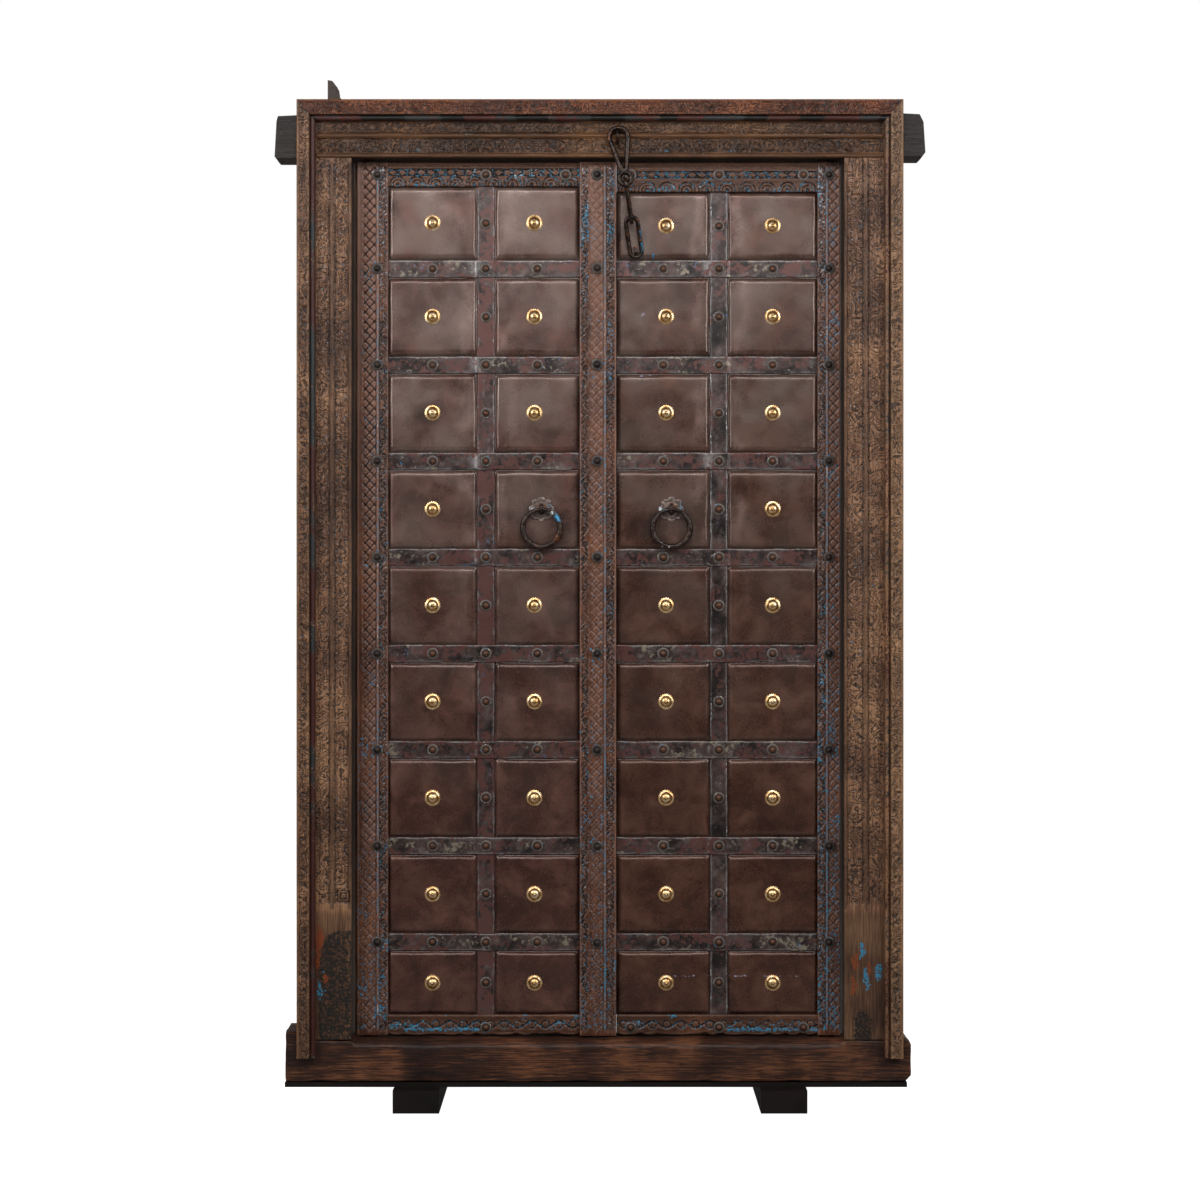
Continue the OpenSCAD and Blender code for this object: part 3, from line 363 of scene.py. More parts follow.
def relief(x, z, y, back, marks):
    """A carved board: a fine grid of face points, rows upwards and columns to the right, with a flat back."""
    rows, cols = x.shape
    points = np.stack([x, y, z], -1).reshape(-1, 3)
    index = np.arange(rows * cols).reshape(rows, cols)
    corners = index[:-1, :-1], index[:-1, 1:], index[1:, 1:], index[1:, :-1]
    faces = np.stack(corners, -1).reshape(-1, 4).tolist()
    rim = np.concatenate([index[0], index[1:, -1], index[-1, -2::-1], index[-2:0:-1, 0]])
    rear = points[rim].copy()
    rear[:, 1] = back
    first, count = len(points), len(rim)
    after = np.roll(np.arange(count), -1)
    faces += np.stack([rim, first + np.arange(count), first + after, rim[after]], -1).tolist()
    behind = {front: first + k for k, front in enumerate(rim.tolist())}
    left, right = [behind[i] for i in index[:, 0].tolist()], [behind[i] for i in index[:, -1].tolist()]
    bottom, top = [behind[i] for i in index[0].tolist()], [behind[i] for i in index[-1].tolist()]
    faces.append(bottom[::-1] + [left[1], right[1]])
    faces += [[right[i], left[i], left[i + 1], right[i + 1]] for i in range(1, rows - 2)]
    faces.append([right[-2], left[-2]] + top)
    held = {key: np.concatenate([values.ravel(), np.zeros(count)]) for key, values in marks.items()}
    return np.concatenate([points, rear]), faces, held


def rear_of(source, depth):
    """What lies deeper than a plane in a CAD piece: its plain back with its bores, tenons and pintles."""
    shape = welded(node[source].data, 1e-6)
    everything = shape.verts[:] + shape.edges[:] + shape.faces[:]
    split = bmesh.ops.bisect_plane(shape, geom=everything, plane_co=(0, face_y + depth * mm, 0),
                                   plane_no=(0, -1, 0), clear_outer=True)
    rim = [part for part in split["geom_cut"] if isinstance(part, bmesh.types.BMEdge)]
    bmesh.ops.triangle_fill(shape, edges=rim, normal=(0, -1, 0), use_beauty=True)
    shape.verts.index_update()
    points = np.array([vert.co[:] for vert in shape.verts])
    faces = [[vert.index for vert in face.verts] for face in shape.faces]
    shape.free()
    past_frame = np.abs(points[:, 0]) > frame_half * mm + 1e-4
    bare_end = past_frame + (points[:, 2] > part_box("lintel")[1].z + 1e-4)
    # Painted shade: the sides near the front, in the narrow gaps beside leaves and panels, are darkest, and
    # faces further back less so.
    soot_and_shade = 0.85 - 0.55 * ramp(points[:, 1], face_y + 0.02, face_y + 0.07)
    return points, faces, {"hollow": np.where(bare_end, 0.78, soot_and_shade)}


def joined(name, parts, finish, sharp=50):
    """One object from several closed parts, smooth but for its sharp edges."""
    points, faces, marks, first = [], [], {}, 0
    total = sum(len(part[0]) for part in parts)
    for part_points, part_faces, part_marks in parts:
        points.append(part_points)
        faces += [[first + i for i in face] for face in part_faces]
        for key, values in part_marks.items():
            marks.setdefault(key, np.zeros(total))[first:first + len(part_points)] = values
        first += len(part_points)
    mesh = bpy.data.meshes.new(name)
    mesh.from_pydata(np.concatenate(points).tolist(), [], faces)
    set_marks(mesh, marks)
    mesh.polygons.foreach_set("use_smooth", [True] * len(mesh.polygons))
    mesh.set_sharp_from_angle(angle=math.radians(sharp))
    mesh.materials.append(finish)
    return put(name, mesh)


def board(source, body, finish, x, z, y, seam, marks):
    """Joins a carved face to its CAD piece's plain back at a depth in mm, and ties it to its body."""
    parts = [relief(x, z, y, face_y + seam * mm, marks), rear_of(source, seam)]
    tie(joined("carved_" + source, parts, finish), body, "timber", source)


def rearranged(order, x, z, y, marks):
    """The same carved face with the rows and columns of all its grids in another order."""
    return order(x), order(z), order(y), {key: order(values) for key, values in marks.items()}


def spread(low, high, step):
    """Evenly spaced places from low to high, about a step apart."""
    return np.linspace(low, high, max(3, int(round((high - low) / step)) + 1))


def cell(v, pitch):
    """Place within each repeat of a pattern, from its middle."""
    return np.mod(v, pitch) - pitch / 2


def even_pitch(length, pitch):
    """The pitch nearest to a wished one that fits a length a whole number of times."""
    return length / max(1, round(length / pitch))


def petal(u, v, angle, length, width):
    """How far inside a pointed leaf a place lies, from 0 at its edge to 1 on its midrib."""
    a = math.radians(angle)
    along, across = u * math.cos(a) + v * math.sin(a), v * math.cos(a) - u * math.sin(a)
    share = np.clip(1 - (2 * along / length) ** 2, 0, 1)
    return np.clip(1 - np.abs(across) / (width / 2 * share ** 0.75 + 1e-6), 0, 1)


def ramp(value, low, high):
    """A soft step from 0 to 1."""
    t = np.clip((value - low) / (high - low), 0, 1)
    return t * t * (3 - 2 * t)


def hump(value, middle, half):
    """A round-topped bar's height over a place, from 0 at its edges to 1 on its middle."""
    return np.sqrt(np.clip(1 - ((value - middle) / half) ** 2, 0, 1))


def dab(value, middle, half):
    """A soft spot, 1 at its middle."""
    return np.exp(-((value - middle) / half) ** 2)


def spot(u, v, middle, half):
    """A soft oval spot, from its middle and its half size along u and v."""
    return dab(u, middle[0], half[0]) * dab(v, middle[1], half[1])


def arris(distance, radius):
    """How far an edge is rounded back at a distance from it."""
    t = np.clip(1 - distance / radius, 0, 1)
    return radius * 0.6 * (1 - np.sqrt(1 - t * t * 0.999))


def rubbed_edges(depth, gain):
    """Where the carving stands out from what lies round it."""
    soft = depth.copy()
    for _ in range(3):
        soft[1:-1, 1:-1] = (soft[:-2, 1:-1] + soft[2:, 1:-1] + soft[1:-1, :-2] + soft[1:-1, 2:]) / 4
    return np.clip((soft - depth) * gain, 0, 1)


def leaning_leaves(u, v, pitch, angle, length=27, width=10):
    """A band of leaning leaves along v with two small buds beside each."""
    w = cell(v, pitch)
    big = petal(u, w, angle, length, width)
    buds = np.maximum(petal(u - 7, w + 7, angle + 25, 10, 5), petal(u + 8, w - 6, angle - 25, 10, 5))
    rib = dab(big, 1, 0.13) * (big > 0)
    return np.maximum(np.sqrt(big) - 0.55 * rib, 0.7 * np.sqrt(buds))


def flower_band(u, v, pitch, width):
    """A band of four-petalled flowers along v with a diamond and side curls between them."""
    w = cell(v, pitch)
    reach = width * 0.36
    total = 0.9 * dab(np.hypot(u, w), width * 0.6, 1.3)
    for angle in (45, 135, 225, 315):
        a = math.radians(angle)
        leaf = petal(u - reach * math.cos(a), w - reach * math.sin(a), angle, width * 0.56, 8)
        total = np.maximum(total, np.sqrt(leaf))
    other = cell(v + pitch / 2, pitch)
    diamond = np.clip(1 - np.abs(u) / (width * 0.2) - np.abs(other) / (width * 0.26), 0, 1)
    total = np.maximum(total, np.sqrt(diamond))
    for side in (-1, 1):
        curl = petal(u - side * width * 0.33, other, 90 + side * 20, 22, 6)
        total = np.maximum(total, 0.9 * np.sqrt(curl))
    return total


def timber_noise(u, v, seed):
    """Unevenness of an old hand-worked face, with drying cracks along v."""
    drift = noise(v / 160, v * 0, seed) * 1.2
    crack = np.clip(noise(u / 9 + drift, v / 420, seed + 5) - 0.72, 0, 1) * 3.2
    return 0.35 * rough(u / 26, v / 90, seed) + 0.12 * rough(u / 4, v / 14, seed + 2) + crack


jamb_wood = old_wood("oiled carved hardwood, upright", "Z", ("#372219", "#6d4c38", "#9d7656"), "#120b08",
                     paints, wear_and_sheen_tone="#ad8766")


def left_block_wear(u, v, foot, seed, marks):
    """What age left on the left foot block: black soot, a scorched edge and a ring of blue flakes."""
    brim = 235 - 97 * np.exp(-(u - 44) / 9) + 5 * noise(u / 12, v / 30, seed + 4)
    block = ramp(brim - v, 0, 6) * ramp(u, 40, 46)
    marks["slate"] = 0.54 * block
    marks["hollow"] = np.maximum(marks["hollow"], np.maximum(0.55 * block, 0.5 * foot))
    scorched = spot(u, v - 0.9 * (u - 42), (42, 190), (16, 60)) * (1 - block)
    scorched = np.maximum(scorched, spot(u, v, (58, 128), (8, 14)))
    marks["rust"] = 0.55 * np.clip(1.7 * scorched, 0, 1) * foot
    ringed = dab(np.hypot(u - 57, (v - 122) * 0.7), 14, 5)
    flaked = np.maximum(0.8 * ringed, 1.6 * spot(u, v, (47, 100), (8, 26)))
    marks["blue"] = np.maximum(marks["blue"], 0.5 * np.clip(flaked, 0, 1) * foot)


def right_block_wear(u, v, foot, marks):
    """What age left on the right foot block: blue and scorched runs, soot, and two pale lines above it."""
    runs = 4 * noise(v / 14, u * 0, 3)
    flaked = np.maximum(spot(u - runs, v, (86, 186), (7, 20)), spot(u - runs, v, (75, 128), (7, 30)))
    flaked = np.maximum(flaked, 0.9 * spot(u, v, (50, 142), (10, 22)))
    marks["blue"] = np.maximum(marks["blue"], 0.54 * np.clip(1.9 * flaked, 0, 1))
    scorched = np.maximum(spot(u - runs, v, (98, 165), (9, 22)), spot(u - runs, v, (103, 112), (7, 24)))
    scorched = np.maximum(scorched, spot(u, v, (70, 150), (6, 18)))
    marks["rust"] = 0.55 * np.clip(1.9 * scorched, 0, 1)
    sooted = dab(u, 84, 26) * ramp(95 - v, 0, 60)
    smoked = 0.8 * spot(u, v, (90, 236), (30, 28))
    marks["slate"] = 0.55 * np.clip(1.4 * sooted, 0, 1)
    darkened = np.maximum(0.55 * foot, 0.7 * np.maximum(sooted, smoked))
    marks["hollow"] = np.maximum(marks["hollow"], darkened)
    line = np.maximum(dab(v, plain_foot + 2, 1.8), dab(v, plain_foot - 5, 1.8)) * (u > moulding_w + 28)
    marks["pale"] = np.maximum(marks["pale"], 0.56 * line)


def carved_jamb(side):
    """One jamb; u runs from its outer edge inwards and v up from its foot, both in millimetres."""
    left = side == "left"
    source = side + "_jamb"
    low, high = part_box(source)
    height = (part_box("lintel")[0].z - low.z) / mm
    width = jamb_width[side]
    lip_u = width - jamb_lip
    band_w = (lip_u - moulding_w) / 2 - 3
    ridge_u = moulding_w + (lip_u - moulding_w) / 2
    columns = np.concatenate([[0, moulding_w - 4], spread(moulding_w - 2, width, jamb_step)])
    u, v = np.meshgrid(columns, spread(0, height, jamb_step))
    up = v - plain_foot
    carved = ramp(v, plain_foot - 4, plain_foot) * (1 - ramp(v, height - 3, height))
    barred = ramp(v, plain_foot - 14, plain_foot - 10) * (1 - ramp(v, height - 14, height - 10))
    foot = 1 - ramp(v, plain_foot - 30, plain_foot)
    seed = 31 if left else 57
    outer_u, inner_u = moulding_w + band_w / 2, lip_u - band_w / 2 - 1
    leaves = leaning_leaves(u - outer_u, up, even_pitch(height - plain_foot, leaf_run), 48)
    leaves = leaves * (np.abs(u - outer_u) < band_w / 2 - 1)
    flowers = flower_band(u - inner_u, up, even_pitch(height - plain_foot, flower_run), band_w)
    flowers = flowers * (np.abs(u - inner_u) < band_w / 2 - 0.5)
    lines = dab(u, ridge_u - 8, 1.1) + dab(u, ridge_u + 7.5, 1.1) + dab(u, lip_u - 1.5, 1.1)
    cuts = np.maximum(np.maximum(0.8 * leaves, flowers), 0.7 * np.clip(lines, 0, 1)) * carved
    fade = 0.2 + 0.8 * ramp(rough(u / 22, v / 30, seed - 10), -0.4, 0.4)
    ridge = hump(u, ridge_u, jamb_ridge_half) * barred
    lip = ramp(u, lip_u - 1, lip_u + 1) * barred
    depth = carve * 0.8 * cuts * fade + timber_noise(u, v, seed) + arris(width - u, 3.0)
    depth = depth - lip_rise * (ridge + lip)
    spots = ramp(rough(u / 30, v / 45, seed + 10), -0.1, 0.6)
    bars = np.maximum(ridge, lip)
    bar_sides = carved * (dab(u, ridge_u - 6.5, 1.8) + dab(u, ridge_u + 6.5, 1.8))
    bar_grime = np.clip(0.42 * bars + 0.6 * bar_sides, 0, 1)
    banded = (np.abs(u - outer_u) < band_w / 2) + (np.abs(u - inner_u) < band_w / 2)
    marks = {"hollow": np.maximum(np.clip(cuts * fade * 0.75, 0, 1), bar_grime)}
    marks["worn"] = 0.35 * rubbed_edges(depth, 1.5) * (1 - 0.8 * bars)
    marks["busy"] = np.maximum(carved * banded, 0.5 * bars)
    marks["blue"] = (0.31 + 0.13 * cuts * spots) * marks["busy"]
    marks["pale"] = (0.29 + 0.09 * cuts) * marks["busy"]
    if left:
        left_block_wear(u, v, foot, seed, marks)
        fret = np.maximum(np.abs(u - 96), np.abs(up - 14))
        nested = 0.5 + 0.5 * np.cos(fret * 2 * math.pi / 6)
        inside = (fret < 13) * (up > -6)
        depth = np.where(inside, 2.4 * nested, depth)
        marks["hollow"] = np.where(inside, nested, marks["hollow"])
    else:
        right_block_wear(u, v, foot, marks)
    x, z, y = low.x + u * mm, low.z + v * mm, face_y + np.minimum(depth, board_d - 1) * mm
    if not left:
        x, z, y, marks = rearranged(lambda grid: grid[:, ::-1], high.x - u * mm, z, y, marks)
    board(source, "frame", jamb_wood, x, z, y, board_d, marks)


carved_jamb("left")
carved_jamb("right")


# The lintel: one beam over both leaves with a rough horn past each jamb. Its face has a band of slanted
# leaves, a round ridge with a pale painted line, a row of palmettes and a rolled lip. The carving is broken
# away behind the chain.
lintel_step = 2.0
lintel_row = 1.8
lintel_board_d = 3.9
lintel_carve = 2.7
lintel_ridge_v = 46.0
lintel_ridge_half = 4.6
lintel_ridge_rise = 4.0
lintel_lip_h = 9.0
lintel_lip_rise = 4.0
leaf_band_half = 11.5
palmette_run = 64.0
palmette_h = 26.0
top_moulding_h = 43.5
level_wood = old_wood("oiled carved hardwood, level", "X", ("#26170c", "#492e1c", "#6e4b2b"), "#0d0807",
                      paints, wear_and_sheen_tone="#7d583a")


def palmettes(u, v, pitch, height):
    """A row of palmettes along u: a fan of petals under a round arc, with a bud between two."""
    w = cell(u, pitch)
    total = dab(np.hypot(w, v), height * 1.02, 1.5)
    for angle in (15, 52, 90, 128, 165):
        a = math.radians(angle)
        reach = height * 0.55
        leaf = petal(w - reach * math.cos(a), v - reach * math.sin(a), angle, height * 0.78, height * 0.27)
        total = np.maximum(total, np.sqrt(leaf))
    bud = petal(cell(u + pitch / 2, pitch), v - height * 0.62, 90, height * 0.7, 9)
    return np.maximum(total, 0.9 * np.sqrt(bud))


def carved_lintel():
    """The lintel; u runs to the right from its middle and v up from its underside, in millimetres."""
    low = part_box("lintel")[0]
    height = (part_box("top_moulding")[1].z - low.z) / mm
    half, shown = frame_half - moulding_w, height - top_moulding_h
    columns = [[-frame_half, -half - 3], spread(-half, half, lintel_step), [half + 3, frame_half]]
    rows = np.concatenate([spread(0, shown + 2, lintel_row), [shown + 6, height]])
    u, v = np.meshgrid(np.concatenate(columns), rows)
    face = (np.abs(u) < half) * (v < shown)
    upper = (lintel_ridge_v + 5 + shown) / 2
    foot = lintel_lip_h + 3
    in_leaves = np.abs(v - upper) < leaf_band_half
    in_fans = (v > foot - 1) * (v < lintel_ridge_v - 5)
    leaves = leaning_leaves(v - upper, u, even_pitch(2 * half, leaf_run), 50, 23, 8) * in_leaves
    fans = palmettes(u, v - foot, even_pitch(2 * half, palmette_run), palmette_h) * in_fans
    lines = dab(v, lintel_ridge_v - 6.5, 1.2) + dab(v, lintel_ridge_v + 6.5, 1.2)
    near_chain = 46 + 5 * noise(v / 6, u / 40, 4) - np.abs(u - 6)
    whole = 1 - 0.85 * ramp(near_chain, 0, 9) * (v < lintel_ridge_v - 4)
    cuts = np.maximum(np.maximum(0.85 * leaves, fans), 0.6 * np.clip(lines, 0, 1)) * face * whole
    fade = 0.3 + 0.7 * ramp(rough(u / 40, v / 20, 71), -0.5, 0.4)
    torn = 2.2 * (1 - whole) * ramp(rough(u / 14, v / 8, 77), -0.3, 0.6)
    depth = lintel_carve * cuts * fade + 0.6 * timber_noise(v, u, 73) + torn
    depth = depth - lintel_ridge_rise * hump(v, lintel_ridge_v, lintel_ridge_half) * face
    roll = ramp(lintel_lip_h - v, -0.5, 3.0)
    depth = depth - (lintel_lip_rise * roll - arris(v, 4.0)) * (np.abs(u) < half)
    spots = ramp(rough(u / 70, v / 24, 81), -0.2, 0.5)
    ridge_line = dab(v, lintel_ridge_v + 3.2, 1.7) + 0.8 * dab(v, lintel_ridge_v - 3.4, 1.4)
    lip_line = dab(v, lintel_lip_h - 1.5, 2.0)
    busy = 1.0 * face * (in_leaves + in_fans)
    pale = face * np.maximum(0.54 * ridge_line, 0.46 * lip_line) * (0.7 + 0.3 * spots)
    blue = face * np.maximum(0.5 * dab(v, foot + 3, 5) * spots, 0.45 * cuts * spots)
    marks = {"hollow": np.clip(0.8 * cuts * fade, 0, 1), "worn": 0.3 * rubbed_edges(depth, 1.4), "busy": busy}
    marks["pale"] = np.maximum(pale, 0.29 * busy)
    marks["blue"] = np.maximum(blue, 0.32 * busy)
    marks["red"] = face * 0.44 * dab(v, foot + 6, 6) * (1 - spots)
    y = face_y + np.minimum(depth, lintel_board_d - 0.4) * mm
    board("lintel", "frame", level_wood, u * mm, low.z + v * mm, y, lintel_board_d, marks)


carved_lintel()


# The mouldings: three strips nailed on and mitred round the frame's front, chip-carved with triangles, with a
# round bead along the inner edge. The top bead still has red and black paint, the left one plum and grey, and
# most of the right one is bare.
moulding_step = 2.1
moulding_t = 22.0
bead_w = 11.5
bead_drop = 6.0
tooth_pitch = 32.0
moulding_paints = {"red": "#6d2418", "plum": "#3c1e1a", "grey": "#2a2c2c", "pale": "#a39c98",
                   "rust": "#85592f", "black": "#12100e"}
moulding_woods = {
    along: old_wood("painted moulding hardwood along " + along, along, tones, "#140b08",
                    moulding_paints, wear_and_sheen_tone=wear_and_sheen_tone)
    for along, tones, wear_and_sheen_tone in (("X", ("#2e1008", "#542a16", "#7d4625"), "#96603c"),
                               ("Z", ("#36221a", "#674632", "#9b7252"), "#ae8a66"))
}


def teeth(u, v, strip):
    """Chip-carved triangles along a strip: a pit in each triangle and a ridge between two."""
    t = np.clip((u - 4.5) / (strip - 6), 0, 1)
    w = np.abs(cell(v, tooth_pitch)) / (tooth_pitch / 2)
    inner, outer = np.minimum(1 - t, t - w), np.minimum(t, w - t)
    return np.clip(3.2 * inner, 0, 1), np.clip(2.2 * outer, 0, 1)


def moulding(name, along, strip, x_of, z_of, rows, seed):
    """One strip; u runs from its outer edge to its bead and v along it, in millimetres."""
    width = strip + bead_w
    u, v = np.meshgrid(spread(0, width, moulding_step), rows)
    bead_u = strip + bead_w / 2
    inner, outer = teeth(u, v, strip)
    on_strip = ramp(strip - u, 0, 1.0)
    on_bead = 1 - on_strip
    pits = np.maximum(inner, 0.8 * outer) * on_strip
    fade = 0.3 + 0.7 * ramp(rough(u / 20, v / 30, seed), -0.5, 0.4)
    bead = bead_w / 2 * hump(u, bead_u, bead_w / 2)
    depth = -moulding_t * on_strip + carve * pits * fade + 0.5 * timber_noise(u, v, seed + 3) + arris(u, 3.0)
    depth = depth - (moulding_t - bead_drop - bead_w / 2 + bead) * on_bead
    stretch = rough(v / 90, v * 0, seed + 9)
    spots = ramp(rough(u / 12, v / 30, seed + 5), -0.2, 0.5)
    bare = name == "right_moulding"
    painted = on_bead * (0.75 if bare else 1.0)
    plum_bead = 0.5 + 0.2 * ramp(stretch, -0.35, 0.35)
    grey_bead = 0.36 + 0.3 * ramp(-stretch, -0.2, 0.3)
    worn = 0.5 * rubbed_edges(depth, 0.8) + 0.4 * on_strip * bare
    marks = {"hollow": np.clip(0.6 * pits * fade + dab(u, strip, 1.2), 0, 1), "worn": np.clip(worn, 0, 1)}
    marks["busy"] = on_strip * ramp(u, 3, 5)
    marks["rust"] = 0.46 * ramp(5.0 - u, 0, 2.0)
    # The pale line along the bead's outer flank is a painted highlight; the pale on the strip is flecks of
    # paint.
    marks["pale"] = 0.3 * on_strip + 0.4 * on_bead * dab(u, bead_u - 4, 1.5)
    marks["plum"] = np.maximum(0.4 * inner * on_strip, painted * plum_bead)
    marks["grey"] = np.maximum((0.38 + 0.06 * spots) * on_strip, painted * grey_bead)
    if along == "X":
        turn = np.cos(v / 26 + 2 * stretch)
        marks["black"] = 0.72 * on_bead * ramp(turn, -0.1, 0.3)
        marks["red"] = 0.66 * on_bead * ramp(-turn, 0.25, 0.6)
    x, z, y = x_of(u, v), z_of(u, v), face_y + depth * mm
    if x[0, 0] > x[0, -1]:
        x, z, y, marks = rearranged(lambda grid: grid[:, ::-1], x, z, y, marks)
    if along == "X":
        x, z, y, marks = rearranged(lambda grid: grid.T[::-1], x, z, y, marks)
    strip_face = relief(x, z, y, face_y, marks)
    tie(joined("carved_" + name, [strip_face], moulding_woods[along]), "frame", "timber", name)


moulding_low, moulding_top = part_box("left_moulding")[0].z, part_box("top_moulding")[1].z
moulding_run = (moulding_top - moulding_low) / mm


def mitred(u, v):
    """Height of a place on a side strip, whose upper end is cut along the mitre."""
    share = 1 - u * top_moulding_h / moulding_w / moulding_run
    return moulding_low + v * share * mm


def narrowed(u, v):
    """Place across the door of a place on the top strip, whose two ends are cut along the mitres."""
    return v * (1 - u * moulding_w / top_moulding_h / frame_half) * mm


side_rows = spread(0, moulding_run, moulding_step)
side_strip = moulding_w - bead_w
top_strip = top_moulding_h - bead_w
top_rows = spread(-frame_half, frame_half, moulding_step)
moulding("left_moulding", "Z", side_strip, lambda u, v: (u - frame_half) * mm, mitred, side_rows, 101)
moulding("right_moulding", "Z", side_strip, lambda u, v: (frame_half - u) * mm, mitred, side_rows, 113)
moulding("top_moulding", "X", top_strip, narrowed, lambda u, v: moulding_top - u * mm, top_rows, 127)


# The leaves' uprights: two hinge stiles that turn on wooden pintles, and the meeting post on the left leaf.
# Each has a carved lattice of small diamonds that stops round every nail, a bead and a border of scrolls; the
# post has two borders.
upright_step = 2.0
leaf_recess = 38.0
post_proud = 8.0
post_face_w = 74.0
post_lap = 3.4
plain_round = 20.0
diamond_w = 19.0
scroll_run = 31.0
leaf_bead_half = 2.4
leaf_low, leaf_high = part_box("left_bottom_rail")[0].z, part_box("left_top_rail")[1].z
leaf_height = (leaf_high - leaf_low) / mm
strap_count = 8
strap_middle = [sum(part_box("left_strap_%d" % k), Vector()).z / 2 for k in range(1, strap_count + 1)]
strap_pitch = (strap_middle[1] - strap_middle[0]) / mm
diamond_h = strap_pitch / 10
leaf_paints = dict(paints, pale="#a5a9ad")
leaf_wood = old_wood("dark carved hardwood, upright", "Z", ("#24120b", "#4a2918", "#714429"), "#0b0706",
                     leaf_paints, wear_and_sheen_tone="#957264", roughness=0.34)


def diamonds(u, v):
    """A lattice of small flat diamonds: 0 along the grooves and 1 in the middle of each."""
    one, two = np.mod(u / diamond_w + v / diamond_h, 1), np.mod(u / diamond_w - v / diamond_h, 1)
    return 2 * np.minimum(np.minimum(one, 1 - one), np.minimum(two, 1 - two))


def scrolls(u, v, pitch, width):
    """A border of curled leaves: rings with a leaf on either side, turned about at every repeat."""
    w = cell(v, pitch)
    sway = np.where(np.mod(v, 2 * pitch) < pitch, 1, -1)
    curl = dab(np.hypot(u - sway * width * 0.08, w), width * 0.3, 1.3)
    leaf = petal(u * sway + width * 0.2, w - pitch * 0.36, 60, pitch * 0.55, 6)
    tip = petal(u * sway - width * 0.22, w + pitch * 0.34, 118, pitch * 0.5, 5)
    eye = np.clip(1.3 - np.hypot(u - sway * width * 0.08, w) / 2.4, 0, 1)
    return np.maximum(np.maximum(curl, eye), np.sqrt(np.maximum(leaf, tip)))


def wide_of(source):
    """How wide a CAD piece is, in millimetres."""
    low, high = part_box(source)
    return (high.x - low.x) / mm


def carved_upright(source, body, face_d, width, lattice, strength, borders, bead_u, nail_u, seed):
    """One upright; u runs to the right from its left edge and v up from the leaf's foot, in millimetres."""
    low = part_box(source)[0]
    u, v = np.meshgrid(spread(0, width, upright_step), spread(0, leaf_height, 1.2 * upright_step))
    rows_off = np.abs(v[..., None] - (np.array(strap_middle) - leaf_low) / mm).min(-1)
    from_nail = np.hypot(u - nail_u, rows_off)
    carved = ramp(v, 8, 12) * (1 - ramp(v, leaf_height - 10, leaf_height - 6))
    first = (strap_middle[0] - leaf_low) / mm + plain_round
    point = diamonds(u - sum(lattice) / 2, v - first)
    past_left, past_right = (ramp(u, edge - 0.5, edge + 0.5) for edge in lattice)
    in_lattice = past_left * (1 - past_right) * carved * (1 - ramp(plain_round - from_nail, 0, 6.0))
    groove = ramp(0.3 - point, 0, 0.3) * in_lattice * strength
    curls, border = np.zeros_like(u), np.zeros_like(u)
    for middle, wide in borders:
        band = carved * (np.abs(u - middle) < wide / 2)
        curls = np.maximum(curls, scrolls(u - middle, v - first, scroll_run, wide) * band)
        border = np.maximum(border, band)
    bead_line = hump(u, bead_u, leaf_bead_half)
    bead_sides = dab(u, bead_u - 3.4, 0.9) + dab(u, bead_u + 3.4, 0.9)
    fade = 0.5 + 0.5 * ramp(rough(u / 30, v / 60, seed), -0.5, 0.3)
    depth = carve * fade * np.maximum(groove, 0.85 * curls) + 0.45 * timber_noise(u, v, seed + 3)
    depth = depth + carved * (1.6 * bead_sides - 0.8 * bead_line) + arris(u, 2.5) + arris(width - u, 2.5)
    spots = ramp(rough(u / 16, v / 50, seed + 7), 0.0, 0.6)
    low_down = 1 - ramp(v, 150, 700)
    dark = np.clip(0.7 * curls + 0.3 * border + 0.9 * bead_sides * carved, 0, 1)
    drawn = 0.85 + 0.15 * ramp(v + 300 * rough(u / 40, v / 90, seed + 5), 200, 1100)
    # Painted highlight: the lattice and the left stile's plain margin grow paler towards the top, as a sheen
    # laid in through the wear mark.
    margin = ramp(lattice[0] - 1 - u, 0, 3) * (source == "left_hinge_stile")
    painted_highlight = (in_lattice + margin) * (0.3 * ramp(v, 700, 1600) + 0.4 * ramp(v, 1550, 1800))
    flecked = np.maximum(border, 0.9 * spots * carved) * (0.94 + 0.14 * ramp(v, 1450, 1800))
    painted_bead = carved * bead_line
    often = 0.43 if source == "right_hinge_stile" else 0.4
    flakes = (often + 0.08 * spots) * carved * np.maximum(low_down, 0.95)
    flakes = np.maximum(flakes, 0.45 * dab(from_nail, 17, 6)) - 0.04 * ramp(v, 500, 900)
    blue = np.maximum((0.36 + 0.1 * spots) * flecked, 0.56 * painted_bead * (1 - spots))
    marks = {"hollow": np.clip(dark * fade, 0, 1)}
    marks["line"] = (1 - point) * (in_lattice > 0.3) * strength * drawn
    marks["worn"] = np.clip(rubbed_edges(depth, 1.6) + painted_highlight, 0, 1)
    marks["busy"] = np.maximum(border * (0.6 + 0.4 * spots), 0.6 * low_down * carved)
    marks["pale"] = np.maximum(0.54 * painted_bead * (0.7 + 0.3 * spots), 0.38 * flecked)
    marks["blue"] = np.maximum(blue, flakes)
    y = face_y + (face_d + np.minimum(depth, board_d - 1)) * mm
    board(source, body, leaf_wood, low.x + u * mm, leaf_low + v * mm, y, face_d + board_d, marks)


carved_upright("left_hinge_stile", "left_leaf", leaf_recess, wide_of("left_hinge_stile"), (13, 41), 1.0,
               [(56, 18)], 44, 43, 141)
carved_upright("meeting_post", "left_leaf", leaf_recess - post_proud, post_face_w + post_lap, (22, 49), 0.86,
               [(10.5, 16), (65, 18)], 53.5, 37, 153)
carved_upright("right_hinge_stile", "right_leaf", leaf_recess, wide_of("right_hinge_stile"), (23, 44), 0.95,
               [(9, 17)], 20, 24, 167)


